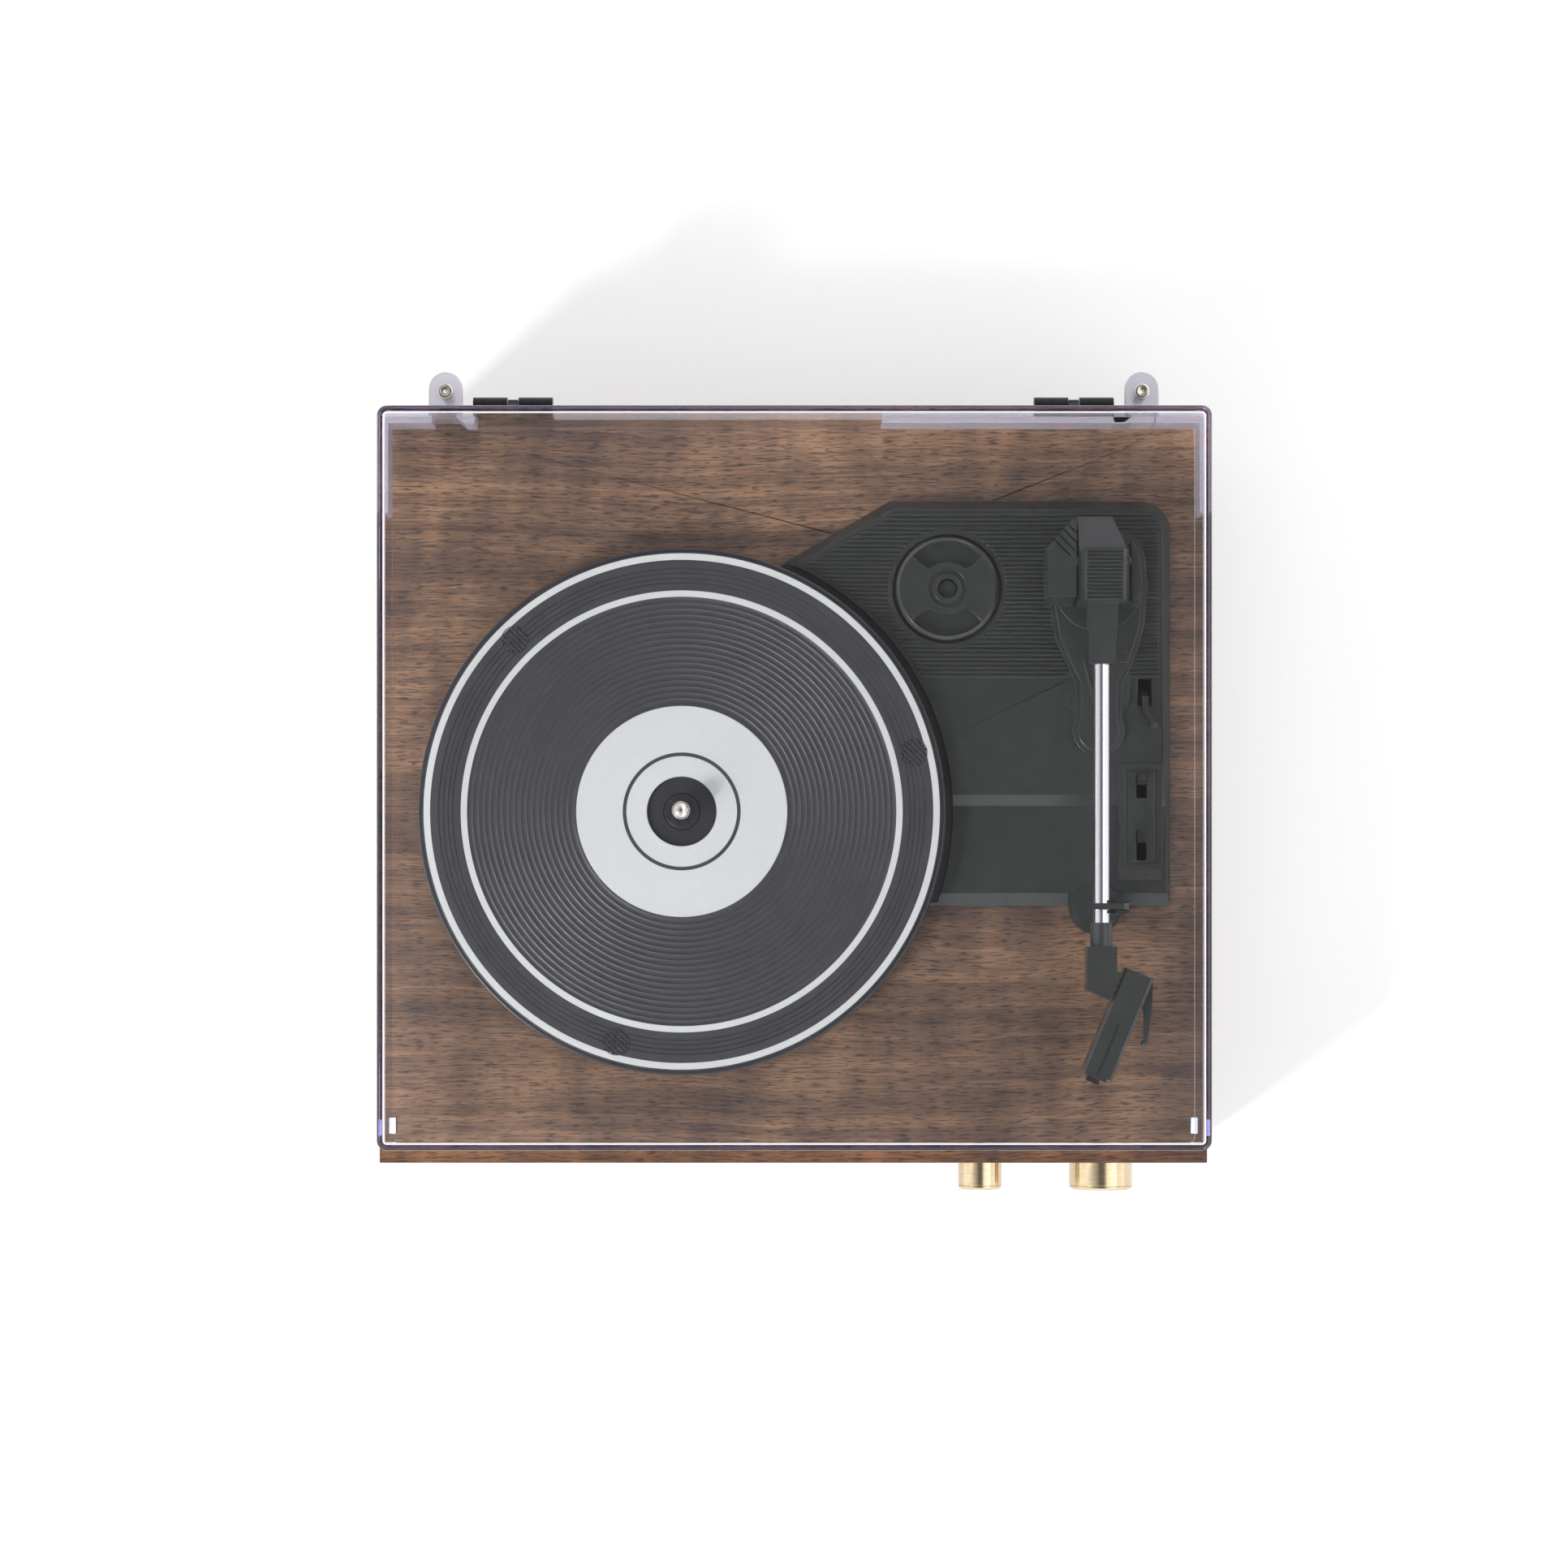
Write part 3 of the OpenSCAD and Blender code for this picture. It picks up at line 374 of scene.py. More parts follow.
def make_materials(c):
    """Every finish of the record player, by the name of the record's slot, from the chosen colours."""
    wood = (c.walnut_dark, c.walnut_middle, c.walnut_light)
    return {
        # satin walnut veneer: soft broad highlights, streaks along the grain
        "walnut_veneer": walnut("walnut_veneer", "x", *wood),
        "walnut_veneer_side": walnut("walnut_veneer_side", "y", *wood),
        # raw fibreboard: fuzzy and quite matt
        "fibreboard": finish("raw_fibreboard", "#6B5644", "#5A4737", 0.9, 1.2, 0.1),
        # moulded rubber: matt, slightly dusty
        "foot_rubber": finish("moulded_foot_rubber", "#1B1B1B", "#262626", 0.8, 2.0, 0.03),
        # zinc-plated steel: grey, with a faint bluish bloom
        "zinc_steel": finish("zinc_plated_steel", "#C9CBCC", "#AEB1B4", 0.32, 1.5, 0.004, 0.08, 1.0),
        # injection-moulded ABS, spark-eroded texture: a soft sheen over a fine grain
        "black_abs": finish("moulded_black_abs", c.plastic_light, c.plastic_dark, 0.24, 7.0, 0.01,
                            0.03),
        "speaker_cloth": woven("woven_speaker_cloth", "#1E1E1F", "#050505", 0.8),
        "speaker_steel": finish("painted_speaker_steel", "#3A3B3D", "#2E2F31", 0.4, 1.0, 0.01),
        # pressed paper pulp: matt fibres
        "cone_paper": finish("pressed_cone_paper", "#343434", "#232323", 0.92, 0.8, 0.08,
                             stretch=(1, 1, 3)),
        # solder mask over glass fibre: glossy green with darker tracks
        "circuit_board": finish("solder_mask_board", "#2F6A41", "#215232", 0.25, 3.0, 0.01),
        # anodised aluminium, turned on a lathe: warm, with fine turning rings that stretch highlights
        "champagne_aluminium": finish("champagne_anodised_aluminium", c.knob_colour, "#CFB994", 0.17, 6.0,
                                      0.0, 0.04, 1.0, stretch=(1, 0.08, 1), Anisotropic=0.5),
        "socket_plastic": finish("socket_plastic_red", "#B3262B", "#9E1F25", 0.3, 1.5, 0.004),
        # polished nickel plate: near mirror, a little yellow
        "nickel_plate": finish("polished_nickel_plate", "#D9D5CC", "#C9C5BC", 0.14, 2.5, 0.0, 0.04, 1.0),
        "turned_brass": finish("turned_brass", "#D2B26A", "#C09E55", 0.25, 0.3, 0.003, 0.06, 1.0,
                               stretch=(8, 8, 1)),
        "belt_rubber": finish("ground_belt_rubber", "#1A1A1A", "#111111", 0.7, 0.8, 0.01),
        "nylon": finish("natural_nylon", "#E8E4D6", "#DDD8C8", 0.4, 1.5, 0.005, Subsurface_Weight=0.1),
        "spring_steel": finish("blued_spring_steel", "#54565A", "#44464B", 0.3, 1.0, 0.002, 0.06, 1.0),
        # moulded platter: smoother than the deck, so its rim catches a thin line of light
        "platter_plastic": finish("moulded_platter_plastic", "#242527", "#1F2022", 0.32, 6.0, 0.01),
        # vulcanised rubber mat: matt and faintly grey, its ridges carry the light
        "mat_rubber": finish("vulcanised_mat_rubber", c.mat_colour, "#1F2023", 0.5, 9.0, 0.01, 0.04),
        # screen-printed ink on the mat: flat white with a very fine tooth
        "print_ink": finish("screen_printed_ink", c.print_colour, "#A8ACA6", 0.5, 0.7, 0.006),
        "pad_rubber": finish("cut_pad_rubber", "#121315", "#0D0E0F", 0.5, 3.0, 0.01),
        # chrome on steel tube: a mirror with the faintest drawing lines along it
        "chromed_tube": finish("chromed_steel_tube", "#E6E7E9", "#DADBDE", 0.1, 1.0, 0.0, 0.04, 1.0,
                               stretch=(1, 60, 1)),
        "stylus_plastic": finish("stylus_plastic", "#1C1D1F", "#161719", 0.35, 1.0, 0.004),
        "switch_plastic": finish("moulded_switch_plastic", "#1F2022", "#17181A", 0.3, 0.5, 0.006),
        "clear_styrene": clear_styrene("clear_styrene", "#FFFFFF", "#F0F0F0", 1.55),
        "frosted_styrene": frosted_styrene("frosted_styrene", "#CFCDD6"),
        # plasticised vinyl: milky, soft highlights
        "soft_vinyl": finish("soft_vinyl", "#E9E8EA", "#DCDBDF", 0.35, 1.5, 0.004, Subsurface_Weight=0.2),
        # black oxide on steel, oiled: dark, with clean bright edges
        "hinge_steel": finish("blackened_hinge_steel", "#232427", "#17181A", 0.3, 1.2, 0.004, 0.06, 0.7),
    }


MATERIALS = {}                    # filled by the materials operator, which runs before the pieces


def dress(node, slot=None, edge_mm=0.25, segments=2, even=True, clamp=True):
    """Gives a CAD node its finish and rounds its sharp edges by modifiers; its own mesh stays as it is.
    even evens out the shading, which suits all but big flat boards. clamp holds the rounding of the
    whole node to its tightest spot, which loses it on a node with very short edges."""
    piece = NODES[node]
    for socket in piece.material_slots:
        name = socket.name.split(".")[0]
        socket.link = "OBJECT"
        socket.material = MATERIALS[slot or name]
    if edge_mm:
        piece.modifiers.new("one_skin", "WELD").merge_threshold = 0.01 * MM
        edge = piece.modifiers.new("round_edges", "BEVEL")
        edge.width, edge.segments = edge_mm * MM, segments
        edge.limit_method, edge.angle_limit = "ANGLE", np.radians(28.0)
        edge.use_clamp_overlap = clamp
        edge.miter_outer = "MITER_ARC"
        if even:
            piece.modifiers.new("even_normals", "WEIGHTED_NORMAL").weight = 80


# ---- Settings ----

def text_colour(name, told, code):
    """A colour setting, kept as an sRGB hex code."""
    return bpy.props.StringProperty(name=name, description=told, default=code)


class RecordPlayerColours(bpy.types.PropertyGroup):
    walnut_dark: text_colour("Walnut, dark", "Late growth in the veneer", "#3B2A1F")
    walnut_middle: text_colour("Walnut, middle", "Main tone of the veneer", "#59432F")
    walnut_light: text_colour("Walnut, light", "Early growth in the veneer", "#775B41")
    plastic_light: text_colour("Plastic, light", "Lighter grain of the moulded plastic", "#2A2D2A")
    plastic_dark: text_colour("Plastic, dark", "Darker grain of the moulded plastic", "#262926")
    mat_colour: text_colour("Mat", "Rubber of the platter mat", "#242528")
    print_colour: text_colour("Print", "Ink of the rings and the label", "#AEB2AC")
    knob_colour: text_colour("Knobs", "Anodised finish of both knobs", "#DDCAAD")
    floor_colour: text_colour("Floor", "Light table under the record player", "#BCBCBC")


class RecordPlayerSizes(bpy.types.PropertyGroup):
    groove_pitch: bpy.props.FloatProperty(
        name="Groove pitch", description="Distance between the mat's ridges", default=0.0022,
        unit="LENGTH")
    groove_depth: bpy.props.FloatProperty(
        name="Groove depth", description="Depth of the mat's grooves", default=0.0003, unit="LENGTH")
    hatch_pitch: bpy.props.FloatProperty(
        name="Hatch pitch", description="Distance between the pads' cuts", default=0.0015, unit="LENGTH")
    camera_height: bpy.props.FloatProperty(
        name="Camera height", description="Height of the camera above the floor", default=1.33,
        unit="LENGTH")
    key_light: bpy.props.FloatProperty(
        name="Key light", description="Power of the large lamp", default=46.0, unit="POWER")
    floor_glow: bpy.props.FloatProperty(
        name="Floor glow", description="Light that the table under the record player gives off",
        default=0.34)


class PieceOperator(bpy.types.Operator):
    """Common base: makes one group of the record player's pieces"""
    bl_options = {"REGISTER", "UNDO"}

    def execute(self, context):
        self.make(context.scene.record_player_sizes, context.scene.record_player_colours)
        return {"FINISHED"}


# ---- Pieces ----

class PLAYER_OT_materials(PieceOperator):
    """Mixes every finish from the chosen colours"""
    bl_idname = "record_player.materials"
    bl_label = "Materials"

    def make(self, sizes, colours):
        MATERIALS.update(make_materials(colours))


class PLAYER_OT_plinth(PieceOperator):
    """Dresses the mitred boards, the base and the feet"""
    bl_idname = "record_player.plinth"
    bl_label = "Plinth"

    def make(self, sizes, colours):
        for board in ("top_board", "front_board", "back_board"):
            dress(board, "walnut_veneer", 0.35, even=False)
        for board in ("left_board", "right_board"):
            dress(board, "walnut_veneer_side", 0.35, even=False)
        dress("bottom_board", edge_mm=0.4)
        for foot in ("front_left", "front_right", "rear_left", "rear_right"):
            dress("foot_" + foot, edge_mm=0.5)
        dress("foot_screws", edge_mm=0.2)


class PLAYER_OT_front(PieceOperator):
    """Stretches the speaker cloth over its frame and dresses the speakers and controls behind it"""
    bl_idname = "record_player.front"
    bl_label = "Grille and speakers"

    def make(self, sizes, colours):
        self.cloth()
        dress("grille_frame", "black_abs", 0.3)
        for node in ("speaker_left", "speaker_right", "speaker_cones", "main_board", "volume_pot",
                     "selector_switch"):
            dress(node, edge_mm=0.2)

    def cloth(self):
        """The stretched sheet lies a hair lower between its edges: with u and v from 0 to 1 across and
        up it, its depth is the sag times sin(pi u) times sin(pi v)."""
        low, high = box_mm("grille_cloth")
        across, up = 96, 24       # points of the grid
        behind, sag, thickness = 0.25, 0.25, 0.4
        u, v = np.meshgrid(np.linspace(0, 1, across), np.linspace(0, 1, up))
        hump = sag * np.sin(np.pi * u) * np.sin(np.pi * v)
        x, z = low[0] + (high[0] - low[0]) * u, low[2] + (high[2] - low[2]) * v
        grid = np.stack([x, low[1] + behind + hump, z], -1).reshape(-1, 3)
        corner = (np.arange(up - 1)[:, None] * across + np.arange(across - 1)).ravel()
        quads = np.stack([corner, corner + 1, corner + across + 1, corner + across], -1)
        cloth = Shape()
        cloth.points, cloth.faces = [grid], quads.tolist()
        cloth.finishes = [0] * len(quads)
        made = cloth.piece("stretched_cloth", ROOT, "speaker_cloth", [MATERIALS["speaker_cloth"]],
                           ["grille_cloth"])
        made.modifiers.clear()
        thick = made.modifiers.new("thickness", "SOLIDIFY")
        thick.thickness, thick.offset = thickness * MM, 0.0


class PLAYER_OT_knobs(PieceOperator):
    """Turns both knobs: a cup with a chamfered rim and a finely turned face"""
    bl_idname = "record_player.knobs"
    bl_label = "Knobs"

    def make(self, sizes, colours):
        for node in ("volume_knob", "selector_knob"):
            low, high = box_mm(node)
            r = (high[0] - low[0]) / 2
            front, centre = low[1], ((low[0] + high[0]) / 2, 0, (low[2] + high[2]) / 2)
            shaft_r, wall, hollow = 3.0, 1.6, KNOB_BACK - 2.9
            # the face: its height ripples as a cosine over the radius, one turning mark each half millimetre
            face = np.linspace(r - 1.5, 0.4, 60)
            turning = front + 0.25 + 0.02 * np.cos(face * 2 * np.pi / 0.5)
            profile = np.concatenate([
                # shaft, hollow back and rear rim
                [(shaft_r, high[1]), (shaft_r, hollow), (r - wall, hollow), (r - wall, KNOB_BACK),
                 (r - 0.25, KNOB_BACK)],
                arc(r - 0.25, KNOB_BACK - 0.25, 0.25, 90, 0, 4),
                # fine line round the side, chamfer and raised lip round the face
                [(r, front + 1.75), (r - 0.12, front + 1.6), (r - 0.12, front + 1.45), (r, front + 1.3)],
                [(r, front + 0.8), (r - 0.75, front + 0.05), (r - 0.9, front), (r - 1.3, front),
                 (r - 1.4, front + 0.2)],
                np.column_stack([face, turning])])
            knob = Shape().loft(turned(profile, centre, 128, "y"))
            knob.piece("turned_" + node, node, "champagne_aluminium",
                       [MATERIALS["champagne_aluminium"]], [node])


class PLAYER_OT_rear(PieceOperator):
    """Dresses the sockets at the back"""
    bl_idname = "record_player.rear"
    bl_label = "Rear sockets"

    def make(self, sizes, colours):
        dress("jack_plate", edge_mm=0.4)
        for node in ("dc_jack", "rca_jacks", "aux_jack"):
            dress(node, edge_mm=0.2)


class PLAYER_OT_deck(PieceOperator):
    """Dresses the moulded deck, its screws, the motor and the drive"""
    bl_idname = "record_player.deck"
    bl_label = "Deck and drive"

    def make(self, sizes, colours):
        dress("deck_plate", edge_mm=0.2, clamp=False)
        for node in ("deck_screws", "motor", "motor_pulley", "drive_belt", "thrust_washer", "spindle_clip",
                     "platter_bush"):
            dress(node, edge_mm=0.15)


class PLAYER_OT_platter(PieceOperator):
    """Turns the platter, its printed mat, the hatched pads and the spindle"""
    bl_idname = "record_player.platter"
    bl_label = "Platter and mat"

    def make(self, sizes, colours):
        low, high = box_mm("platter")
        r, z0, z1 = (high[0] - low[0]) / 2, low[2], high[2]
        # radius of the belt's drum under the platter, height of the disc's under side, radius of the bore
        drum, web, hub = 58.0, z1 - 2.0, 6.5
        profile = np.concatenate([
            [(hub, z0), (10, z0), (10, web), (drum - 2.5, web), (drum - 2.5, z0), (drum, z0), (drum, web),
             (r - 2, web), (r - 2, z0 + 0.3)],
            arc(r - 1.7, z0 + 0.3, 0.3, 180, 270, 4), arc(r - 0.6, z0 + 0.6, 0.6, 270, 360, 5),
            arc(r - 0.8, z1 - 0.8, 0.8, 0, 90, 6), [(r - 1.6, z1), (hub + 0.4, z1), (hub, z1 - 0.4)]])
        disc = Shape().loft(turned(profile, (*SPINDLE, 0)), close_rows=True)
        disc.piece("turned_platter", "platter", "platter_plastic", [MATERIALS["platter_plastic"]],
                   ["platter"])
        self.mat(z1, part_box("platter_mat")[1].z / MM, sizes)
        self.pads(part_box("grip_pads")[1].z / MM, sizes)
        self.spindle()

    def mat(self, z0, z1, sizes):
        """The mat's top is a height over radius: a cosine ripple where the ridges run, thin V cuts near
        the rim, and the print a hair proud of the rubber."""
        low, high = box_mm("platter_mat")
        edge, hole = (high[0] - low[0]) / 2, 12.5
        pitch, depth = sizes.groove_pitch / MM, sizes.groove_depth / MM
        ridges_from, ridges_to = 39.6, 78.6
        ripple = np.arange(ridges_from, ridges_to, pitch / 8)
        # the power under 1 keeps the ridges narrow and the grooves between them wide
        ridge = z1 - depth * (0.5 - 0.5 * np.cos(2 * np.pi * (ripple - ridges_from) / pitch)) ** 0.35
        ink, ink_edge = 0.04, 0.02
        inked = [(12.9, 20.4), (21.75, 38.9), (79.2, 81.5), (92.8, 95.2)]
        print_r = np.array([e for a, b in inked for e in (a - ink_edge, a, b, b + ink_edge)])
        print_z = np.tile([z1, z1 + ink, z1 + ink, z1], len(inked))
        cuts, cut_half, cut_depth = np.array([84.4, 86.1, 87.9, 89.6]), 0.2, 0.22
        cut_r = (cuts[:, None] + [-cut_half, 0, cut_half]).ravel()
        cut_z = np.tile([z1, z1 - cut_depth, z1], len(cuts))
        top = np.column_stack([np.concatenate([ripple, print_r, cut_r]),
                               np.concatenate([ridge, print_z, cut_z])])
        top = top[np.argsort(top[:, 0])]
        profile = np.concatenate([[(edge, z0), (hole, z0), (hole, z1 - 0.25), (hole + 0.2, z1)], top,
                                  [(edge - 0.35, z1), (edge - 0.1, z1 - 0.1), (edge, z1 - 0.35)]])
        inky = profile[:, 1] > z1 + ink / 2
        white = (inky & np.roll(inky, -1)).astype(int)
        Shape().loft(turned(profile, (*SPINDLE, 0)), white, close_rows=True).piece(
            "printed_mat", "platter", "mat_rubber", [MATERIALS["mat_rubber"], MATERIALS["print_ink"]],
            ["platter_mat"])

    def pads(self, top, sizes):
        """Each pad is a disc on a polar grid. Two sets of V cuts at right angles, both on the slant, lower
        its face; the depth at a point is that of the deeper of the two cuts there."""
        shape = Shape()
        pitch, cut_depth, wide = sizes.hatch_pitch / MM, 0.45, 0.45
        pad_r, height, circle_r = 5.08, 1.2, 88.3
        r = np.concatenate([np.linspace(0.15, 4.7, 34), [4.95, pad_r, pad_r]])[:, None]
        t = np.linspace(0, 2 * np.pi, 150, endpoint=False)[None, :]
        x, y = r * np.cos(t), r * np.sin(t)
        across = [np.abs((d / pitch) % 1 - 0.5) * 2 for d in ((x + y) * 0.7071, (x - y) * 0.7071)]
        cut = cut_depth * np.clip((np.maximum(*across) - 0.55) / wide, 0, 1)
        # a plain border without cuts, then the rounded edge
        z = top - np.where(r > 5.0, [[0.3]], np.where(r > 4.8, 0.08, cut))
        z[-1] = top - height
        for a in np.radians((14.2, 134.2, 254.2)):
            shape.loft(np.stack([x + SPINDLE[0] + circle_r * np.cos(a),
                                 y + SPINDLE[1] + circle_r * np.sin(a), z], -1))
        shape.piece("hatched_pads", "platter", "pad_rubber", [MATERIALS["pad_rubber"]], ["grip_pads"])

    def spindle(self):
        """A turned pin with a domed end, a clip groove and a flange under the deck."""
        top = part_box("spindle")[1].z / MM
        r, flange_r, groove_r = 3.55, 8, 2.9
        clip_z0, clip_z1 = DECK_Z + 13.6, DECK_Z + 14.4
        profile = np.concatenate([
            [(0.4, DECK_Z - 3), (flange_r - 0.3, DECK_Z - 3), (flange_r, DECK_Z - 2.7),
             (flange_r, DECK_Z - 0.2), (flange_r - 0.2, DECK_Z), (r, DECK_Z)],
            [(r, clip_z0), (groove_r, clip_z0), (groove_r, clip_z1), (r, clip_z1)],
            arc(0, top - r, r, 0, 84, 14)])
        Shape().loft(turned(profile, (*SPINDLE, 0), 64)).piece(
            "domed_spindle", ROOT, "nickel_plate", [MATERIALS["nickel_plate"]], ["spindle"])


class PLAYER_OT_adapter(PieceOperator):
    """Dresses the large-hole adapter and gives its rim a ring of notches"""
    bl_idname = "record_player.adapter"
    bl_label = "Adapter"

    def make(self, sizes, colours):
        dress("adapter_45", edge_mm=0.35, segments=3)
        low, high = box_mm("adapter_45")
        r = (high[0] - low[0]) / 2
        notches, steps = 96, 6
        sides = notches * steps
        rings = turned([(r - 0.6, low[2] + 0.4), (r - 0.05, low[2] + 0.4), (r - 0.05, high[2] - 1.6),
                        (r - 0.5, high[2] - 0.75), (r - 1.0, high[2] - 0.9)], (*ADAPTER, 0), sides)
        # each notch bites into the three outer rings: their radius falls by 0.45 mm over two steps of six
        bite = np.where(np.arange(sides) % steps < 2, 0.45, 0.0)
        away = rings[..., :2] - ADAPTER
        rings[1:4, :, :2] -= (away / np.linalg.norm(away, axis=-1, keepdims=True) * bite[None, :, None])[1:4]
        Shape().loft(rings, close_rows=True).piece(
            "adapter_rim", "adapter", "black_abs", [MATERIALS["black_abs"]], smooth_deg=0)


class PLAYER_OT_tonearm(PieceOperator):
    """Dresses the arm's base, yoke, block, rest and shell, and draws its chromed tube"""
    bl_idname = "record_player.tonearm"
    bl_label = "Tonearm"

    def make(self, sizes, colours):
        for node in ("arm_rest", "arm_clip", "headshell"):
            dress(node, "black_abs", 0.22)
        for node in ("arm_base", "arm_yoke", "arm_block"):
            dress(node, "black_abs", 0.22, clamp=False)
        dress("arm_elbow", "black_abs", 0.35, 3)
        for node in ("pitch_pin", "lift_rod", "counterweight", "cartridge", "stylus"):
            dress(node, edge_mm=0.15)
        low, high = box_mm("arm_tube")
        r, wall, burr = (high[0] - low[0]) / 2, 0.5, 0.1
        profile = [(r - wall, low[1]), (r - burr, low[1]), (r, low[1] + burr),
                   (r, low[1] + 6.4), (r, low[1] + 7.0),
                   (r, high[1] - burr), (r - burr, high[1]), (r - wall, high[1])]
        Shape().loft(turned(profile, (TUBE[0], 0, TUBE[2]), 64, "y"), close_rows=True).piece(
            "drawn_tube", "arm", "chromed_tube", [MATERIALS["chromed_tube"]], ["arm_tube"])


class PLAYER_OT_controls(PieceOperator):
    """Dresses the cue lever and both slide switches"""
    bl_idname = "record_player.controls"
    bl_label = "Levers and switches"

    def make(self, sizes, colours):
        for node in ("cue_lever", "speed_switch", "auto_stop_switch"):
            dress(node, edge_mm=0.15)


class PLAYER_OT_dust_cover(PieceOperator):
    """Moulds the clear cover: a double-walled shell with rounded edges, its tabs and inner blocks"""
    bl_idname = "record_player.dust_cover"
    bl_label = "Dust cover"

    def make(self, sizes, colours):
        z0, z1, wall = 80.8, 127.0, 2.0
        half_width, front, back, corner_r = 151.5, -134.1, 135.4, 3.6

        def ring(inset_mm, z):
            """The cover's outline at a height, moved inwards. From rim to top its side walls lean in by
            1.3 mm, its front by 0.8 and its back by 0.6."""
            lean = (z - z0) / (z1 - z0)
            return rounded_box_ring((-half_width + 1.3 * lean + inset_mm, front + 0.8 * lean + inset_mm),
                                    (half_width - 1.3 * lean - inset_mm, back - 0.6 * lean - inset_mm),
                                    max(corner_r - inset_mm, 0.6), z)

        outer, inner = 1.6, 1.1   # radii of the top edge, outside and inside
        quarter = np.linspace(0, np.pi / 2, 9)
        top_round = [(outer * (1 - np.cos(t)), z1 - outer * (1 - np.sin(t))) for t in quarter[::-1]]
        inside = [(wall + inner * (1 - np.cos(t)), z1 - wall - inner * (1 - np.sin(t))) for t in quarter]
        rim = [(0.2, z0), (0, z0 + 0.2)][::-1] + [(wall - 0.2, z0), (wall, z0 + 0.2)]
        cover = Shape().loft(np.stack([ring(*p) for p in top_round + rim + inside]))
        for x in (-STOP_X, STOP_X):
            self.tab(cover, x)
        self.ribs(cover)
        cover.piece("clear_cover", "lid", "clear_styrene",
                    [MATERIALS["clear_styrene"], MATERIALS["frosted_styrene"]], ["lid"], smooth_deg=0)
        dress("lid_bumpers", edge_mm=0.3)

    def ribs(self, cover):
        """Blocks and fins inside the walls, each a plan outline drawn up and rounded at its edges: a corner
        block and a fin on each side, and one band along the back."""
        block = [(149.1, 98), (149.1, 132.9), (131.7, 132.9), (131.7, 130.6), (147.6, 130.6), (147.6, 98)]
        fin = [(123.0, 132.9), (119.8, 130.3), (116.4, 130.3), (115.8, 132.9)]
        band = [(32, 130.6), (131, 130.6), (131, 132.9), (32, 132.9)]
        low, high = 97, 112
        mirrored = [[(side * x, y) for x, y in plan] for side in (-1, 1) for plan in (block, fin)]
        for outline in mirrored + [band]:
            cover.loft(moulded(outline, low, high, 0.25), 1)

    def tab(self, cover, x):
        """A flat lug behind the cover: a half disc on a straight neck, with a rounded edge. It has no
        hole; the stop screw simply stands through it."""
        y, r, root = STOP_Y + 1, 6.25, 134.95
        outline = np.concatenate([arc(x, y, r, 0, 180, 25), [(x - r, root), (x + r, root)]])
        cover.loft(moulded(outline, *TAB_HEIGHTS, 0.5), 1)


class PLAYER_OT_hinges(PieceOperator):
    """Dresses the hinges and turns the two stop screws"""
    bl_idname = "record_player.hinges"
    bl_label = "Hinges and stops"

    def make(self, sizes, colours):
        dress("hinge_bases", edge_mm=0.25)
        dress("hinge_leaves", edge_mm=0.2)
        dress("hinge_pins", edge_mm=0.15)
        # from the foot up: a post under the tab, a thin shank in it, and a domed head with a drive recess
        foot, post_top, seat, rim = 78.4, 91.4, TAB_HEIGHTS[1], 95.1
        post_r, shank_r, head_r = 2.6, 1.5, 2.8
        profile = np.concatenate([
            [(0.3, foot), (post_r - 0.2, foot), (post_r, foot + 0.2), (post_r, post_top),
             (shank_r, post_top), (shank_r, seat), (head_r - 0.1, seat), (head_r, seat + 0.1), (head_r, rim)],
            arc(head_r - 0.4, rim, 0.4, 0, 90, 5),
            [(1.9, rim + 0.4), (1.7, rim + 0.2), (0.9, rim + 0.1), (0.7, rim - 0.4), (0.3, rim - 0.6)]])
        screws = Shape()
        for x in (-STOP_X, STOP_X):
            screws.loft(turned(profile, (x, STOP_Y, 0), 48))
        screws.piece("stop_screws", "lid", "nickel_plate", [MATERIALS["nickel_plate"]], ["lid_stop_screws"])


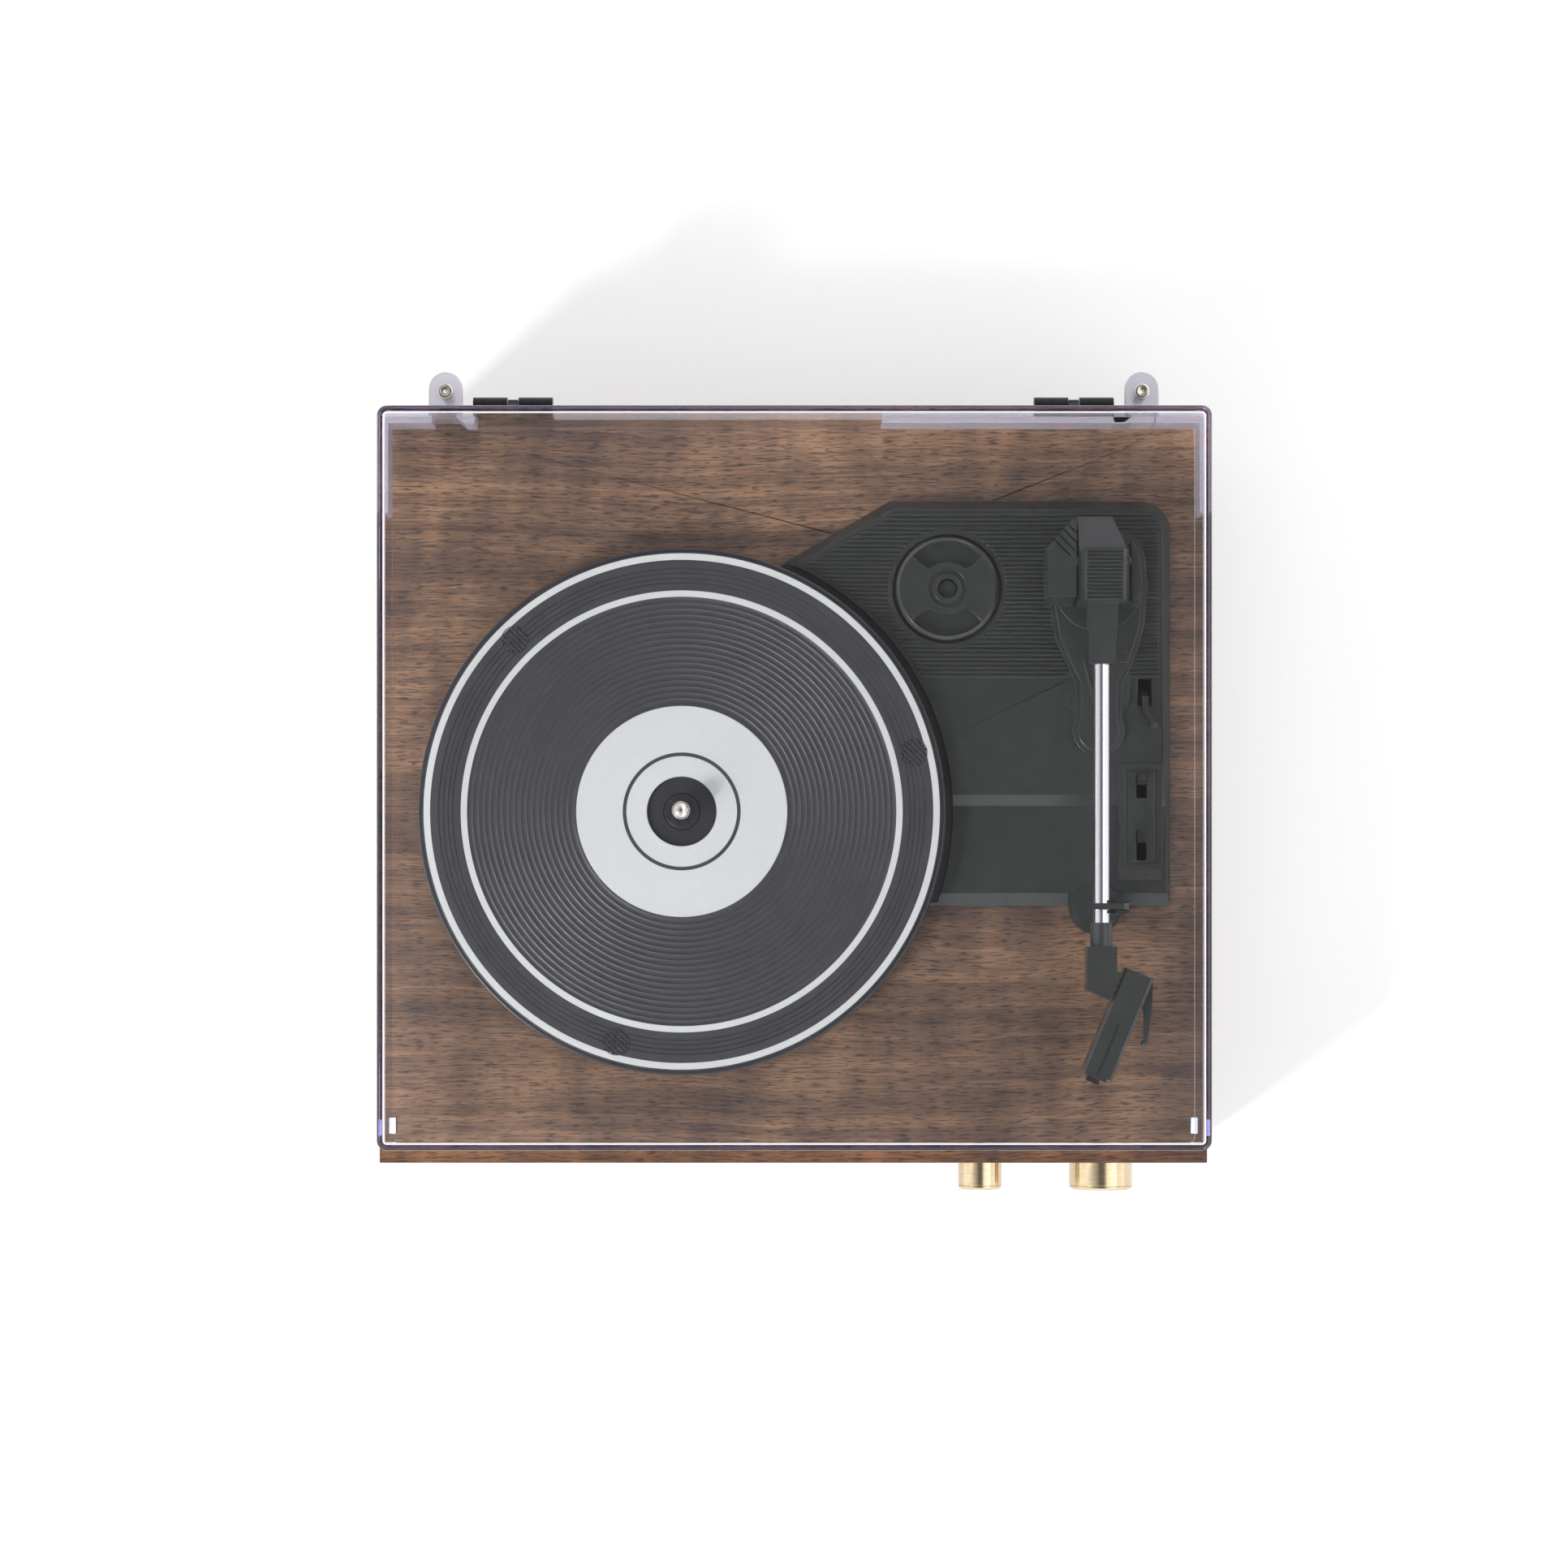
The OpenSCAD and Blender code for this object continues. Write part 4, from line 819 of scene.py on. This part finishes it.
class PLAYER_OT_stage(PieceOperator):
    """Lays the pale floor and sets the lights and the camera straight above"""
    bl_idname = "record_player.stage"
    bl_label = "Stage"

    def make(self, sizes, colours):
        # a white acrylic light table: it glows as well as reflects, so the shadows on it stay pale
        floor = start("light_table", colours.floor_colour, 0.9, Emission_Color=(1, 1, 1, 1),
                      Emission_Strength=sizes.floor_glow)[0]
        mesh = bpy.data.meshes.new("floor")
        far = 4.0                 # metres from the middle to each side of the table
        mesh.from_pydata([(-far, -far, 0), (far, -far, 0), (far, far, 0), (-far, far, 0)], [],
                         [(0, 1, 2, 3)])
        mesh.materials.append(floor)
        ground = bpy.data.objects.new("floor", mesh)
        bpy.context.scene.collection.objects.link(ground)
        self.lamp("key", (-1.354, -1.083, 1.354), 0.3, sizes.key_light)
        self.tent()
        self.camera(sizes)
        bpy.context.scene.view_settings.view_transform = "Standard"

    def tent(self):
        """The surroundings: a white tent with a dark opening straight above, where the camera looks in,
        and a brighter panel on the right that draws the highlight along the tube."""
        world = bpy.data.worlds.new("studio")
        bpy.context.scene.world = world
        world.use_nodes = True
        tree = world.node_tree
        way = add(tree, "SeparateXYZ", links={"Vector": add(tree, "TexCoord").outputs["Generated"]})
        walls = add(tree, "ValToRGB", links={"Fac": way.outputs["Z"]},
                    stops=((0.1, grey(1.6)), (0.985, (0.14, 0.14, 0.145, 1)), (0.7, grey(1.15)),
                           (0.95, grey(0.45))))
        panel = add(tree, "ValToRGB", links={"Fac": way.outputs["X"]},
                    stops=((0.17, grey(0)), (0.3, grey(1.1)), (0.75, grey(1.1)), (0.85, grey(0))))
        both = blend(tree, walls.outputs["Color"], panel.outputs["Color"], "ADD")
        tree.links.new(both, tree.nodes["Background"].inputs["Color"])

    def camera(self, sizes):
        """A long lens straight above, shifted so that the record player fills its frame."""
        lens = bpy.data.cameras.new("camera")
        lens.lens, lens.sensor_width = 76.87, 36.0
        lens.shift_x, lens.shift_y = 0.01087, 0.1159
        lens.clip_start, lens.clip_end = 0.05, 20
        camera = bpy.data.objects.new("camera", lens)
        camera.location = (-0.00985, -0.0668, sizes.camera_height)
        bpy.context.scene.collection.objects.link(camera)
        bpy.context.scene.camera = camera

    def lamp(self, name, at, size, power):
        """A square soft lamp that faces the record player: its -Z axis points at the origin."""
        light = bpy.data.lights.new(name, "AREA")
        light.shape, light.size, light.energy = "SQUARE", size, power
        made = bpy.data.objects.new(name, light)
        made.location = at
        made.rotation_euler = (-Vector(at)).to_track_quat("-Z", "Y").to_euler()
        bpy.context.scene.collection.objects.link(made)


class PLAYER_PT_panel(bpy.types.Panel):
    """Lists the record player's pieces and settings"""
    bl_label = "Record Player"
    bl_space_type = "VIEW_3D"
    bl_region_type = "UI"
    bl_category = "Record Player"

    def draw(self, context):
        for group in (context.scene.record_player_sizes, context.scene.record_player_colours):
            for key in group.bl_rna.properties.keys():
                if key not in ("rna_type", "name"):
                    self.layout.prop(group, key)
        for step in STEPS:
            self.layout.operator(step.bl_idname)


STEPS = (PLAYER_OT_stage, PLAYER_OT_materials, PLAYER_OT_plinth, PLAYER_OT_front, PLAYER_OT_knobs,
         PLAYER_OT_rear, PLAYER_OT_deck, PLAYER_OT_platter, PLAYER_OT_adapter, PLAYER_OT_tonearm,
         PLAYER_OT_controls, PLAYER_OT_dust_cover, PLAYER_OT_hinges)
CLASSES = (RecordPlayerColours, RecordPlayerSizes, *STEPS, PLAYER_PT_panel)


def register():
    for made in CLASSES:
        bpy.utils.register_class(made)
    bpy.types.Scene.record_player_sizes = bpy.props.PointerProperty(type=RecordPlayerSizes)
    bpy.types.Scene.record_player_colours = bpy.props.PointerProperty(type=RecordPlayerColours)


def unregister():
    del bpy.types.Scene.record_player_sizes, bpy.types.Scene.record_player_colours
    for made in reversed(CLASSES):
        bpy.utils.unregister_class(made)


def main():
    register()
    for step in STEPS:
        group, name = step.bl_idname.split(".")
        getattr(getattr(bpy.ops, group), name)()


if __name__ == "__main__":
    main()
